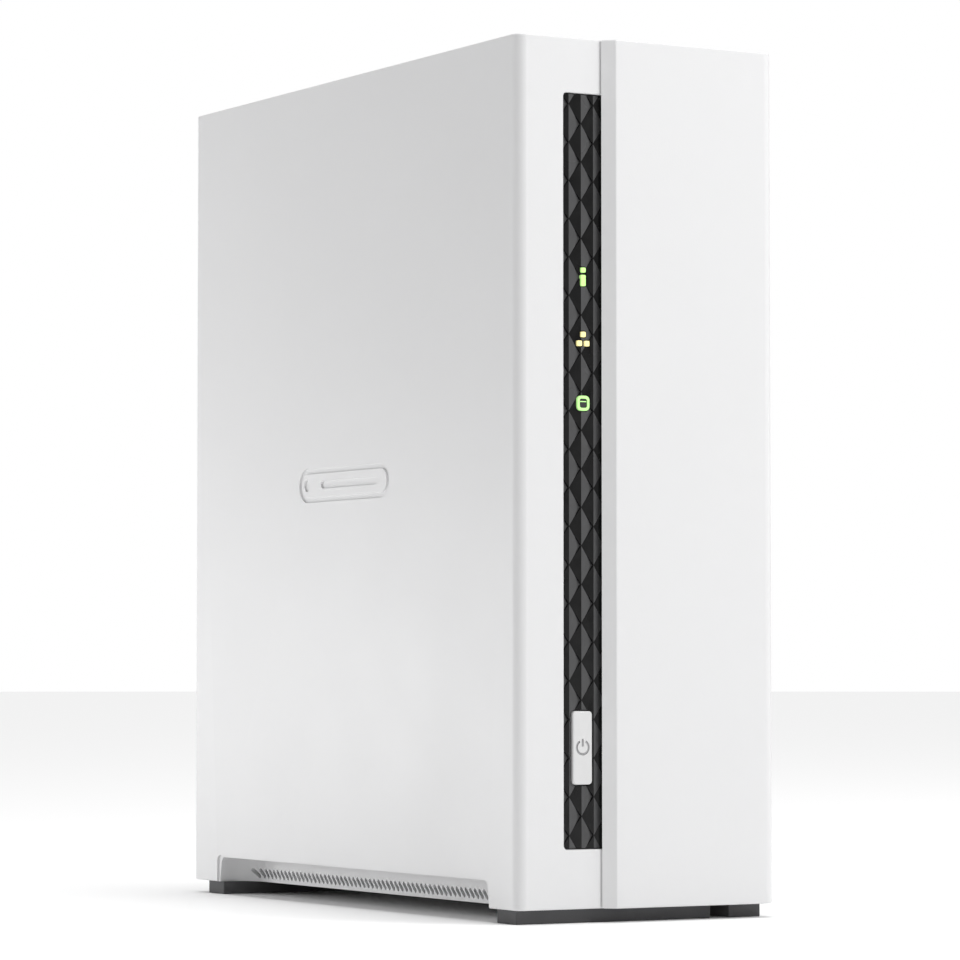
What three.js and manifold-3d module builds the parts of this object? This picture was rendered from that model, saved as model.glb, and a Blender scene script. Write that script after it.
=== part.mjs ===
// A one-bay desktop network storage enclosure, standing upright, with its hard drive fitted.
// Millimetres. +X is to the right seen from the front, +Y to the back, +Z up.
// The origin is on the surface it stands on, under the middle of the enclosure.
import * as THREE from "three";
import { mergeVertices } from "three/addons/utils/BufferGeometryUtils.js";
import Module from "manifold-3d";

// ---------------------------------------------------------------- driving dimensions

const WIDTH = 64;
const DEPTH = 156.2;
const HEIGHT = 188.6;
const FOOT_HEIGHT = 3;
const WALL = 2;
const PANEL_STEP = 2.4; // how far the cover's front panel stands proud of the narrow front strip
const SEAM = 0.3; // gap between the two housing halves
const FRONT_SEAM = 0.15; // gap behind the proud front panel
const REAR_INSET = 1.8; // the back wall lies this far inside the rim

const LEFT = -WIDTH / 2;
const RIGHT = WIDTH / 2;
const PANEL_FACE = -DEPTH / 2;
const FRONT = PANEL_FACE + PANEL_STEP;
const BACK = DEPTH / 2;
const BOTTOM = FOOT_HEIGHT;
const TOP = HEIGHT;
const INNER_FRONT = FRONT + WALL;
const REAR_FACE = BACK - REAR_INSET;
const INNER_REAR = REAR_FACE - WALL;

const SPLIT_X = 19.9; // where the cover's top and bottom flanges begin
const SHELL_EDGE = SPLIT_X - SEAM;
const FRONT_WALL_END = 21.9; // the shell's front wall stops here, clear of the cover's rails
const REAR_WALL_END = RIGHT - WALL - SEAM;
const PANEL_FOOT_X = -11.7; // the proud panel's sloped edge starts here
const PANEL_CREST_X = -8.9; // and ends here

// window strip and its fittings
const STRIP_X = -16.1; // middle of the power key and of the visible strip
const ICON_X = -15.5;
const WINDOW = { x0: -20.6, x1: -9, z0: 15.6, z1: 176.7, radius: 1 };
const WINDOW_FACE = FRONT + 0.3;
const KEY = { width: 4.8, height: 15.6, z: 37.1, radius: 0.8, proud: 0.2, travel: 0.6 };
const ICONS = [
  { name: "status", z: 137.4, width: 1.6, height: 4.2 },
  { name: "network", z: 124.1, width: 3.4, height: 3.3 },
  { name: "disk", z: 110.4, width: 3.6, height: 3.5 },
];
const BOARD_THICK = 1.6;
const INDICATOR_FACE = -64.4; // front face of the small upright board behind the window

// main board, upright along the left wall with its parts facing right
const BOARD_BACK = LEFT + WALL + 3;
const BOARD_FACE = BOARD_BACK + BOARD_THICK;
const SOCKET_END = REAR_FACE + 0.5;

// fan
const FAN = { size: 50, thick: 15, x: 0, z: 140, bore: 23.4, pitch: 40 };
const FAN_REAR = INNER_REAR - 0.1;
const FAN_FRONT = FAN_REAR - FAN.thick;

// 3.5 inch hard drive, standing on its connector end
const DRIVE = { x0: 1.5, thick: 25.8, y0: -50, width: 101.6, z0: 24.3, length: 147 };
const DRIVE_HOLE_X = DRIVE.x0 + 6.35;
const DRIVE_HOLE_Z = [DRIVE.z0 + 28.5, DRIVE.z0 + 28.5 + 101.6];
const BRACKET_THICK = 1;
const BRACKET_X = -0.5;
const POSTS = [
  { y: -58, z: 45 },
  { y: -58, z: 156 },
  { y: 57, z: 174 },
];
const COVER_SCREWS = [
  { name: "cover_screw_lower", x: 26.5, z: 14.4 },
  { name: "cover_screw_upper", x: 26.5, z: 177.4 },
];

const ROUND = 20; // sides of a hole or rod that shows
const SMALL_ROUND = 12;
const CLEAR = 0.2; // working gap between a moving piece and its opening

// ---------------------------------------------------------------- solids

const wasm = await Module();
wasm.setup();

/** A closed three.js geometry as a solid that can be cut and joined. */
function solid(geometry) {
  const bare = geometry.index ? geometry.toNonIndexed() : geometry.clone();
  bare.deleteAttribute("normal");
  bare.deleteAttribute("uv");
  const merged = mergeVertices(bare, 1e-4);
  return new wasm.Manifold(
    new wasm.Mesh({
      numProp: 3,
      vertProperties: merged.attributes.position.array,
      triVerts: new Uint32Array(merged.index.array),
    }),
  );
}

/** A solid's surface as a three.js geometry. */
function surface(body) {
  const mesh = body.getMesh();
  const indexed = new THREE.BufferGeometry();
  indexed.setAttribute("position", new THREE.BufferAttribute(mesh.vertProperties, 3));
  indexed.setIndex(new THREE.BufferAttribute(mesh.triVerts, 1));
  const flat = indexed.toNonIndexed();
  flat.computeVertexNormals();
  return flat;
}

/** A box between two corners, given axis by axis. */
function block([x0, x1], [y0, y1], [z0, z1]) {
  const box = new THREE.BoxGeometry(x1 - x0, y1 - y0, z1 - z0);
  return solid(box.translate((x0 + x1) / 2, (y0 + y1) / 2, (z0 + z1) / 2));
}

/** Outlines pushed along X, from x0 to x1. An outline's own axes are Y and Z. */
function alongX(outlines, [x0, x1], curveSegments = 4) {
  const turned = new THREE.Matrix4().makeBasis(
    new THREE.Vector3(0, 1, 0),
    new THREE.Vector3(0, 0, 1),
    new THREE.Vector3(1, 0, 0),
  );
  const prism = new THREE.ExtrudeGeometry(outlines, { depth: x1 - x0, bevelEnabled: false, curveSegments });
  return solid(prism.applyMatrix4(turned).translate(x0, 0, 0));
}

/** Outlines pushed along Y, from y0 to y1. An outline's own axes are X and Z. */
function alongY(outlines, [y0, y1], curveSegments = 4) {
  const prism = new THREE.ExtrudeGeometry(outlines, { depth: y1 - y0, bevelEnabled: false, curveSegments });
  return solid(prism.rotateX(Math.PI / 2).translate(0, y1, 0));
}

/** Outlines pushed upwards, from z0 to z1. An outline's own axes are X and Y. */
function alongZ(outlines, [z0, z1], curveSegments = 8) {
  const prism = new THREE.ExtrudeGeometry(outlines, { depth: z1 - z0, bevelEnabled: false, curveSegments });
  return solid(prism.translate(0, 0, z0));
}

/** A round rod along X, with its centre line at (y, z). */
function rodX(radius, [x0, x1], y, z, sides = ROUND) {
  const rod = new THREE.CylinderGeometry(radius, radius, x1 - x0, sides);
  return solid(rod.rotateZ(Math.PI / 2).translate((x0 + x1) / 2, y, z));
}

/** A round rod along Y, with its centre line at (x, z). */
function rodY(radius, [y0, y1], x, z, sides = ROUND) {
  const rod = new THREE.CylinderGeometry(radius, radius, y1 - y0, sides);
  return solid(rod.translate(x, (y0 + y1) / 2, z));
}

const join = (...bodies) => bodies.reduce((sum, body) => sum.add(body));
const cut = (body, ...tools) => tools.reduce((rest, tool) => rest.subtract(tool), body);

// ---------------------------------------------------------------- outlines

function polygon(...points) {
  return new THREE.Shape(points.map(([a, b]) => new THREE.Vector2(a, b)));
}

function roundedRectangle(a0, a1, b0, b1, radius) {
  const outline = new THREE.Shape();
  outline.moveTo(a0 + radius, b0);
  outline.lineTo(a1 - radius, b0);
  outline.absarc(a1 - radius, b0 + radius, radius, -Math.PI / 2, 0);
  outline.lineTo(a1, b1 - radius);
  outline.absarc(a1 - radius, b1 - radius, radius, 0, Math.PI / 2);
  outline.lineTo(a0 + radius, b1);
  outline.absarc(a0 + radius, b1 - radius, radius, Math.PI / 2, Math.PI);
  outline.lineTo(a0, b0 + radius);
  outline.absarc(a0 + radius, b0 + radius, radius, Math.PI, Math.PI * 1.5);
  return outline;
}

/** A slot that leans: its top is moved by lean against its bottom. */
function leaningSlot(a, b, width, height, lean) {
  return polygon(
    [a - lean / 2 - width / 2, b - height / 2],
    [a - lean / 2 + width / 2, b - height / 2],
    [a + lean / 2 + width / 2, b + height / 2],
    [a + lean / 2 - width / 2, b + height / 2],
  );
}

// ---------------------------------------------------------------- materials

const paint = (color, roughness, metalness = 0) =>
  new THREE.MeshStandardMaterial({ color, roughness, metalness });
const MATERIALS = {
  whitePlastic: paint(0xeeeeee, 0.45),
  blackPlastic: paint(0x1c1c1e, 0.35),
  rubber: paint(0x444446, 0.8),
  lens: paint(0xc8f0a8, 0.3),
  lampBody: paint(0xf2efe0, 0.4),
  circuitBoard: paint(0x1d5b3a, 0.5),
  chip: paint(0x1b1b1d, 0.6),
  heatSink: paint(0x9ea2a6, 0.4, 0.9),
  steel: paint(0xb9bbbe, 0.35, 1),
  castAluminium: paint(0x8f9296, 0.5, 0.9),
  fanPlastic: paint(0x202022, 0.5),
  cable: paint(0x2a2a2c, 0.6),
};

const nas = new THREE.Group();

/** Adds one named piece to the assembly. */
function piece(name, geometry, material, x = 0, y = 0, z = 0) {
  const mesh = new THREE.Mesh(geometry, material);
  mesh.name = name;
  mesh.position.set(x, y, z);
  nas.add(mesh);
  return mesh;
}

// ---------------------------------------------------------------- left shell

const CORNER_RADIUS = 2.4;
const REAR_RADIUS = 1;
const INTAKE = { depth: 9, top: 8.9, front: -63.2, back: 65.6, radius: 1.5, draft: 1, skin: 1.8 };
const INTAKE_WALL_X = LEFT + INTAKE.depth;
const SLOT = { first: 61.85, pitch: 2, count: 61, width: 0.95, height: 2.15, lean: 1.9, z: 4.85 };
const RAIL = { start: 15.3, end: 25.3, thick: 1.8, lip: 1.2, drop: 1.9 };
const EMBLEM = { y: 2.3, z: 96, width: 43, height: 7.6, stroke: 1.1, deep: 0.5 };
const SOCKET_GAP = 0.3;

/** The shell seen from above: square on the right, rounded on the left. */
function shellPlan() {
  const plan = new THREE.Shape();
  plan.moveTo(SHELL_EDGE, BACK);
  plan.lineTo(LEFT + REAR_RADIUS, BACK);
  plan.absarc(LEFT + REAR_RADIUS, BACK - REAR_RADIUS, REAR_RADIUS, Math.PI / 2, Math.PI);
  plan.lineTo(LEFT, FRONT + CORNER_RADIUS);
  plan.absarc(LEFT + CORNER_RADIUS, FRONT + CORNER_RADIUS, CORNER_RADIUS, Math.PI, Math.PI * 1.5);
  plan.lineTo(SHELL_EDGE, FRONT);
  return plan;
}

/** The air intake: a long hollow along the foot of the left side, open to the left and below. */
function intakeHollow() {
  const { front, back, top, radius, draft } = INTAKE;
  const outline = new THREE.Shape();
  outline.moveTo(front, BOTTOM - 1);
  outline.lineTo(back, BOTTOM - 1);
  outline.lineTo(back - draft, top - radius);
  outline.absarc(back - draft - radius, top - radius, radius, 0, Math.PI / 2);
  outline.lineTo(front + draft + radius, top);
  outline.absarc(front + draft + radius, top - radius, radius, Math.PI / 2, Math.PI);
  return alongX(outline, [LEFT - 1, INTAKE_WALL_X]);
}

function intakeSlots() {
  const slots = Array.from({ length: SLOT.count }, (_, i) =>
    leaningSlot(SLOT.first - i * SLOT.pitch, SLOT.z, SLOT.width, SLOT.height, SLOT.lean),
  );
  return alongX(slots, [INTAKE_WALL_X - 1, INTAKE_WALL_X + INTAKE.skin + 1]);
}

/** A hook-shaped rail on the shell; side is +1 at the top and -1 at the bottom. */
function shellRail(side) {
  const wall = side > 0 ? TOP - WALL : BOTTOM + WALL;
  const under = wall - side * SEAM;
  const low = under - side * RAIL.thick;
  const tip = low - side * RAIL.drop;
  const run = [INNER_FRONT - 0.5, INNER_REAR + 0.5];
  const rise = (a, b) => [Math.min(a, b), Math.max(a, b)];
  return join(
    block([RAIL.start, SHELL_EDGE], run, rise(low, wall + side * 0.5)),
    block([RAIL.start, RAIL.end], run, rise(low, under)),
    block([RAIL.end - RAIL.lip, RAIL.end], run, rise(tip, low + side * 0.1)),
  );
}

/** A plain pictogram sunk into the left side: a slot outline with a lamp and a bar in it. */
function emblem() {
  const { y, z, width, height, stroke } = EMBLEM;
  const pill = (w, h, at) => roundedRectangle(at - w / 2, at + w / 2, z - h / 2, z + h / 2, h / 2 - 0.01);
  const ring = pill(width, height, y);
  ring.holes.push(pill(width - 2 * stroke, height - 2 * stroke, y));
  const lamp = pill(3, 3, y + width / 2 - height / 2);
  const bar = pill(width * 0.62, 1.4, y - width * 0.06);
  return alongX([ring, lamp, bar], [LEFT - 1, LEFT + EMBLEM.deep], 5);
}

/** Rows of leaning slots that fill the fan's circle in the back wall. */
function fanGrille() {
  const width = 2.1;
  const height = 6.2;
  const lean = 2;
  const rowPitch = height + 1.4;
  const slotPitch = 3.6;
  const reach = FAN.bore - 0.6;
  const slots = [];
  for (let row = -2; row <= 2; row += 1) {
    for (let i = -7; i <= 7; i += 1) {
      const dx = (i + (row % 2 ? 0.5 : 0)) * slotPitch;
      const farX = Math.abs(dx) + (width + lean) / 2;
      const farZ = Math.abs(row * rowPitch) + height / 2;
      if (Math.hypot(farX, farZ) < reach) {
        slots.push(leaningSlot(FAN.x + dx, FAN.z + row * rowPitch, width, height, lean));
      }
    }
  }
  return alongY(slots, [INNER_REAR - 1, REAR_FACE + 1]);
}

const SOCKETS = {
  network: { x1: BOARD_FACE + 13.5, z: 48, height: 16, y0: 59.5 },
  usbUpper: { x1: BOARD_FACE + 7.2, z: 88.2, height: 14.6, y0: 58.5 },
  usbLower: { x1: BOARD_FACE + 7.2, z: 70, height: 14.6, y0: 58.5 },
  power: { x1: BOARD_FACE + 11, z: 26, height: 9.4, y0: 61 },
};
const RESET = { x: BOARD_FACE + 2, z: 102.5 };

/** The openings in the back wall that the sockets, the screws and the air go through. */
function rearOpenings() {
  const through = [INNER_REAR - 1, REAR_FACE + 1];
  const sockets = Object.values(SOCKETS).map(({ x1, z, height }) =>
    roundedRectangle(
      BOARD_FACE - SOCKET_GAP,
      x1 + SOCKET_GAP,
      z - height / 2 - SOCKET_GAP,
      z + height / 2 + SOCKET_GAP,
      0.4,
    ),
  );
  const lockSlot = roundedRectangle(8.5, 15.5, 12.5, 15.5, 0.6);
  const fanHoles = fanCorners().map(([x, z]) => rodY(1.8, through, x, z, SMALL_ROUND));
  const screwHoles = COVER_SCREWS.map(({ x, z }) => rodY(1.8, through, x, z, SMALL_ROUND));
  const resetHole = rodY(0.9, through, RESET.x, RESET.z, SMALL_ROUND);
  return [alongY([...sockets, lockSlot], through, 2), fanGrille(), ...fanHoles, ...screwHoles, resetHole];
}

function fanCorners() {
  const half = FAN.pitch / 2;
  return [
    [FAN.x - half, FAN.z - half],
    [FAN.x + half, FAN.z - half],
    [FAN.x - half, FAN.z + half],
    [FAN.x + half, FAN.z + half],
  ];
}

const BOARD = { y0: -35, y1: INNER_REAR - 0.7, z0: 13, z1: 109 };
const BOARD_SCREWS = [
  { y: -30, z: 18 },
  { y: -30, z: 104 },
];
const INDICATOR = { x0: -24, x1: 0.5, z0: 26, z1: 158 };
const INDICATOR_SCREWS = [
  { name: "indicator_screw_lower", x: -3.2, z: 62 },
  { name: "indicator_screw_upper", x: -3.2, z: 140 },
];
const SCREW = { head: 2.6, headHeight: 1.6, shank: 1.25, hole: 1.5, length: 6 };
const BOSS = { standoff: 3, post: 3.4, indicator: 2.6 }; // outer radii

function leftShell() {
  const reach = SHELL_EDGE + 1;
  const body = alongZ(shellPlan(), [BOTTOM, TOP]);
  const cavity = block([LEFT + WALL, reach], [INNER_FRONT, INNER_REAR], [BOTTOM + WALL, TOP - WALL]);
  const rearRecess = block([LEFT + WALL, reach], [REAR_FACE, BACK + 1], [BOTTOM + WALL, TOP - WALL]);
  const wallHeight = [BOTTOM + WALL + SEAM, TOP - WALL - SEAM];
  const frontWall = block([SHELL_EDGE - 0.5, FRONT_WALL_END], [FRONT, INNER_FRONT], wallHeight);
  const rearWall = block([SHELL_EDGE - 0.5, REAR_WALL_END], [INNER_REAR, REAR_FACE], wallHeight);
  const intakeLiner = block(
    [LEFT + WALL - 0.5, INTAKE_WALL_X + INTAKE.skin],
    [INTAKE.front - INTAKE.skin, INTAKE.back + INTAKE.skin],
    [BOTTOM + WALL - 0.5, INTAKE.top + INTAKE.skin],
  );
  const standoffs = BOARD_SCREWS.map(({ y, z }) =>
    rodX(BOSS.standoff, [LEFT + WALL - 0.5, BOARD_BACK], y, z, SMALL_ROUND),
  );
  const posts = POSTS.map(({ y, z }) =>
    rodX(BOSS.post, [LEFT + WALL - 0.5, BRACKET_X], y, z, SMALL_ROUND),
  );
  const bosses = INDICATOR_SCREWS.map(({ x, z }) =>
    rodY(BOSS.indicator, [INNER_FRONT - 0.5, INDICATOR_FACE], x, z, SMALL_ROUND),
  );
  const windowOpening = roundedRectangle(WINDOW.x0, WINDOW.x1, WINDOW.z0, WINDOW.z1, WINDOW.radius);
  const threads = [
    ...BOARD_SCREWS.map(({ y, z }) =>
      rodX(SCREW.hole, [LEFT + WALL + 0.4, BOARD_BACK + 1], y, z, SMALL_ROUND),
    ),
    ...POSTS.map(({ y, z }) =>
      rodX(SCREW.hole, [BRACKET_X - SCREW.length, BRACKET_X + 1], y, z, SMALL_ROUND),
    ),
    ...INDICATOR_SCREWS.map(({ x, z }) =>
      rodY(SCREW.hole, [INDICATOR_FACE - SCREW.length, INDICATOR_FACE + 1], x, z, SMALL_ROUND),
    ),
  ];
  const whole = join(
    cut(body, cavity, rearRecess),
    frontWall,
    rearWall,
    intakeLiner,
    shellRail(1),
    shellRail(-1),
    ...standoffs,
    ...posts,
    ...bosses,
  );
  return cut(
    whole,
    intakeHollow(),
    intakeSlots(),
    emblem(),
    alongY(windowOpening, [FRONT - 1, INNER_FRONT + 1]),
    ...rearOpenings(),
    ...threads,
  );
}

piece("left_shell", surface(leftShell()), MATERIALS.whitePlastic);

// ---------------------------------------------------------------- right cover, with the proud front panel

const COVER_RADIUS = 3;
const COVER_RIB = { start: 22.3, thick: 1.5, lip: 1.4 };
const TAB = { x0: 24.1, y0: 70.5, y1: INNER_REAR - 0.4, height: 8 };

/** The cover seen from above: its front panel, its rounded corner and its side. */
function coverPlan() {
  const plan = new THREE.Shape();
  plan.moveTo(PANEL_FOOT_X, FRONT - FRONT_SEAM);
  plan.lineTo(PANEL_CREST_X, PANEL_FACE);
  plan.lineTo(RIGHT - COVER_RADIUS, PANEL_FACE);
  plan.absarc(RIGHT - COVER_RADIUS, PANEL_FACE + COVER_RADIUS, COVER_RADIUS, -Math.PI / 2, 0);
  plan.lineTo(RIGHT, BACK - REAR_RADIUS);
  plan.absarc(RIGHT - REAR_RADIUS, BACK - REAR_RADIUS, REAR_RADIUS, 0, Math.PI / 2);
  plan.lineTo(SPLIT_X, BACK);
  plan.lineTo(SPLIT_X, FRONT - FRONT_SEAM);
  return plan;
}

/** The cover's rail, which hooks behind the shell's; side is +1 at the top and -1 at the bottom. */
function coverRail(side) {
  const shellTip = (side > 0 ? TOP - WALL : BOTTOM + WALL) - side * (SEAM + RAIL.thick + RAIL.drop);
  const near = shellTip - side * SEAM;
  const far = near - side * COVER_RIB.thick;
  const lipTip = near + side * (RAIL.drop - 0.1);
  const run = [FRONT - FRONT_SEAM - 0.5, TAB.y1];
  const rise = (a, b) => [Math.min(a, b), Math.max(a, b)];
  return join(
    block([COVER_RIB.start, RIGHT - WALL + 0.5], run, rise(far, near)),
    block([COVER_RIB.start, COVER_RIB.start + COVER_RIB.lip], run, rise(near - side * 0.1, lipTip)),
  );
}

function rightCover() {
  const body = alongZ(coverPlan(), [BOTTOM, TOP], 10);
  const hollow = block(
    [SPLIT_X - 1, RIGHT - WALL],
    [FRONT - FRONT_SEAM, BACK + 1],
    [BOTTOM + WALL, TOP - WALL],
  );
  const tabs = COVER_SCREWS.map(({ z }) =>
    block([TAB.x0, RIGHT - WALL + 0.5], [TAB.y0, TAB.y1], [z - TAB.height / 2, z + TAB.height / 2]),
  );
  const screwHoles = COVER_SCREWS.map(({ x, z }) => rodY(1.7, [TAB.y0 - 1, TAB.y1 + 1], x, z, SMALL_ROUND));
  return cut(join(cut(body, hollow), coverRail(1), coverRail(-1), ...tabs), ...screwHoles);
}

piece("right_cover", surface(rightCover()), MATERIALS.whitePlastic);

// ---------------------------------------------------------------- feet

const FOOT = {
  long: { x0: LEFT + 1, x1: 17.8 },
  short: { x0: 22.5, x1: 30.7 },
  deep: 8.2,
  front: -73.4,
  rear: 64.4,
};

for (const [end, y0] of [["front", FOOT.front], ["rear", FOOT.rear]]) {
  for (const size of ["long", "short"]) {
    const { x0, x1 } = FOOT[size];
    const bar = block([x0, x1], [y0, y0 + FOOT.deep], [0, FOOT_HEIGHT]);
    piece(`${end}_foot_${size}`, surface(bar), MATERIALS.rubber);
  }
}

// ---------------------------------------------------------------- window, light pipes and power key

const FLANGE = { side: 1.9, end: 2.1, thick: 1.2 };

function frontWindow() {
  const outline = (grow, radius) =>
    roundedRectangle(WINDOW.x0 + grow, WINDOW.x1 - grow, WINDOW.z0 + grow, WINDOW.z1 - grow, radius);
  const flange = roundedRectangle(
    WINDOW.x0 - FLANGE.side,
    WINDOW.x1 + FLANGE.side,
    WINDOW.z0 - FLANGE.end,
    WINDOW.z1 + FLANGE.end,
    1.5,
  );
  const flangeRear = INNER_FRONT + FLANGE.thick;
  const keyHole = roundedRectangle(
    STRIP_X - KEY.width / 2 - CLEAR,
    STRIP_X + KEY.width / 2 + CLEAR,
    KEY.z - KEY.height / 2 - CLEAR,
    KEY.z + KEY.height / 2 + CLEAR,
    KEY.radius,
  );
  const iconHoles = ICONS.map(({ z, width, height }) =>
    roundedRectangle(ICON_X - width / 2, ICON_X + width / 2, z - height / 2, z + height / 2, 0.5),
  );
  return cut(
    join(
      alongY(outline(0.15, WINDOW.radius - 0.1), [WINDOW_FACE, INNER_FRONT + 0.5]),
      alongY(flange, [INNER_FRONT, flangeRear]),
    ),
    alongY([keyHole, ...iconHoles], [WINDOW_FACE - 1, flangeRear + 1], 3),
  );
}

piece("front_window", surface(frontWindow()), MATERIALS.blackPlastic);

const LAMP_HEIGHT = 1;

/** A clear pipe that carries one lamp's light to its opening in the window. */
function lightPipe({ z, width, height }) {
  const gap = 0.1;
  const head = roundedRectangle(
    ICON_X - width / 2 + gap,
    ICON_X + width / 2 - gap,
    z - height / 2 + gap,
    z + height / 2 - gap,
    0.4,
  );
  const collar = [INNER_FRONT + FLANGE.thick, INNER_FRONT + FLANGE.thick + 1];
  return join(
    alongY(head, [WINDOW_FACE, collar[0] + 0.5], 3),
    block([ICON_X - 2.8, ICON_X + 2.8], collar, [z - 2.8, z + 2.8]),
    block(
      [ICON_X - 1.4, ICON_X + 1.4],
      [collar[1] - 0.5, INDICATOR_FACE - LAMP_HEIGHT - 0.3],
      [z - 1.4, z + 1.4],
    ),
  );
}

for (const icon of ICONS) {
  piece(`${icon.name}_light_pipe`, surface(lightPipe(icon)), MATERIALS.lens);
  const lamp = new THREE.BoxGeometry(2, LAMP_HEIGHT, 1.25);
  piece(`${icon.name}_lamp`, lamp, MATERIALS.lampBody, ICON_X, INDICATOR_FACE - LAMP_HEIGHT / 2, icon.z);
}

const SWITCH = { size: 6, height: 3.5, floor: 0.6, plunger: 1.7, top: -69 };

function powerKey() {
  const cap = roundedRectangle(
    STRIP_X - KEY.width / 2,
    STRIP_X + KEY.width / 2,
    KEY.z - KEY.height / 2,
    KEY.z + KEY.height / 2,
    KEY.radius,
  );
  const stop = INNER_FRONT + FLANGE.thick + 0.2;
  const skirt = [stop, stop + 1];
  const grow = 1.1;
  return join(
    alongY(cap, [FRONT - KEY.proud, skirt[0] + 0.5]),
    block(
      [STRIP_X - KEY.width / 2 - grow, STRIP_X + KEY.width / 2 + grow],
      skirt,
      [KEY.z - KEY.height / 2 - grow, KEY.z + KEY.height / 2 + grow],
    ),
    rodY(1.4, [skirt[1] - 0.5, SWITCH.top - CLEAR], STRIP_X, KEY.z, SMALL_ROUND),
  );
}

piece("power_button", surface(powerKey()), MATERIALS.whitePlastic);

/** The push switch under the key: a square can with a round well for its plunger. */
function switchBody() {
  const half = SWITCH.size / 2;
  return cut(
    block(
      [STRIP_X - half, STRIP_X + half],
      [INDICATOR_FACE - SWITCH.height, INDICATOR_FACE],
      [KEY.z - half, KEY.z + half],
    ),
    rodY(
      SWITCH.plunger + CLEAR,
      [INDICATOR_FACE - SWITCH.height - 1, INDICATOR_FACE - SWITCH.floor],
      STRIP_X,
      KEY.z,
    ),
  );
}

piece("power_switch", surface(switchBody()), MATERIALS.chip);
const plungerLength = INDICATOR_FACE - SWITCH.floor - KEY.travel - CLEAR - SWITCH.top;
const plungerY = SWITCH.top + plungerLength / 2;
const plunger = new THREE.CylinderGeometry(SWITCH.plunger, SWITCH.plunger, plungerLength, ROUND);
piece("power_switch_plunger", plunger, MATERIALS.blackPlastic, STRIP_X, plungerY, KEY.z);

// ---------------------------------------------------------------- indicator board

function indicatorBoard() {
  const plate = roundedRectangle(INDICATOR.x0, INDICATOR.x1, INDICATOR.z0, INDICATOR.z1, 1.5);
  const through = [INDICATOR_FACE - 1, INDICATOR_FACE + BOARD_THICK + 1];
  const holes = INDICATOR_SCREWS.map(({ x, z }) => rodY(SCREW.hole, through, x, z, SMALL_ROUND));
  return cut(alongY(plate, [INDICATOR_FACE, INDICATOR_FACE + BOARD_THICK], 3), ...holes);
}

piece("indicator_board", surface(indicatorBoard()), MATERIALS.circuitBoard);

/** A pan-head screw whose head stands on the origin and points along +Y. */
function screwGeometry({ head, headHeight, shank, length }) {
  const profile = [
    [0, -length],
    [shank * 0.7, -length],
    [shank, -length + 0.6],
    [shank, 0],
    [head, 0],
    [head, headHeight * 0.55],
    [head * 0.8, headHeight],
    [0, headHeight],
  ].map(([radius, along]) => new THREE.Vector2(radius, along));
  return new THREE.LatheGeometry(profile, SMALL_ROUND);
}

const smallScrew = screwGeometry({ ...SCREW, length: SCREW.length - 1 });
for (const { name, x, z } of INDICATOR_SCREWS) {
  piece(name, smallScrew, MATERIALS.steel, x, INDICATOR_FACE + BOARD_THICK, z);
}

// flat cable from the indicator board to the main board
const CABLE = { thick: 0.8, z: 92, width: 8, x: -19 };
const CABLE_PLUG = { y0: INDICATOR_FACE + BOARD_THICK, deep: 4 };
const CABLE_SOCKET = { y0: -33, deep: 5, x1: BOARD_FACE + 6 };

function flatCable() {
  const middle = [
    [CABLE.x, CABLE_PLUG.y0 + CABLE_PLUG.deep],
    [CABLE.x, CABLE_PLUG.y0 + CABLE_PLUG.deep + 5],
    [CABLE.x - 0.6, -47],
    [CABLE.x - 3.2, -41],
    [CABLE.x - 3.4, CABLE_SOCKET.y0 - 2],
    [CABLE.x - 3.4, CABLE_SOCKET.y0],
  ].map(([x, y]) => new THREE.Vector2(x, y));
  const run = new THREE.SplineCurve(middle).getPoints(14);
  const side = (offset) => run.map((p) => new THREE.Vector2(p.x + offset, p.y));
  const outline = new THREE.Shape([...side(CABLE.thick / 2), ...side(-CABLE.thick / 2).reverse()]);
  return alongZ(outline, [CABLE.z - CABLE.width / 2, CABLE.z + CABLE.width / 2]);
}

const plugHeight = CABLE.width + 3;
const cablePlug = new THREE.BoxGeometry(5, CABLE_PLUG.deep, plugHeight);
piece("cable_plug", cablePlug, MATERIALS.lampBody, CABLE.x, CABLE_PLUG.y0 + CABLE_PLUG.deep / 2, CABLE.z);
piece("indicator_cable", surface(flatCable()), MATERIALS.cable);
const cableSocket = block(
  [BOARD_FACE, CABLE_SOCKET.x1],
  [CABLE_SOCKET.y0, CABLE_SOCKET.y0 + CABLE_SOCKET.deep],
  [CABLE.z - plugHeight / 2, CABLE.z + plugHeight / 2],
);
piece("cable_socket", surface(cableSocket), MATERIALS.lampBody);

// ---------------------------------------------------------------- main board and what is soldered to it

function mainBoard() {
  const plate = roundedRectangle(BOARD.y0, BOARD.y1, BOARD.z0, BOARD.z1, 2);
  const through = [BOARD_BACK - 1, BOARD_FACE + 1];
  const holes = BOARD_SCREWS.map(({ y, z }) => rodX(SCREW.hole, through, y, z, SMALL_ROUND));
  return cut(alongX(plate, [BOARD_BACK, BOARD_FACE], 3), ...holes);
}

piece("main_board", surface(mainBoard()), MATERIALS.circuitBoard);
const boardScrew = screwGeometry({ ...SCREW, length: BOARD_THICK + 2 });
BOARD_SCREWS.forEach(({ y, z }, i) => {
  const name = `board_screw_${i ? "upper" : "lower"}`;
  piece(name, boardScrew, MATERIALS.steel, BOARD_FACE, y, z).rotation.z = -Math.PI / 2;
});

/** A flat part soldered to the main board. */
function chip(name, thick, width, height, y, z) {
  const box = new THREE.BoxGeometry(thick, width, height);
  return piece(name, box, MATERIALS.chip, BOARD_FACE + thick / 2, y, z);
}

const PROCESSOR = { y: 7, z: 58, size: 15, thick: 1.3 };
chip("processor", PROCESSOR.thick, PROCESSOR.size, PROCESSOR.size, PROCESSOR.y, PROCESSOR.z);
chip("memory_chip", 1.1, 8, 12, -16, 58);
chip("flash_chip", 1, 11.5, 13, 8, 88);

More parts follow.
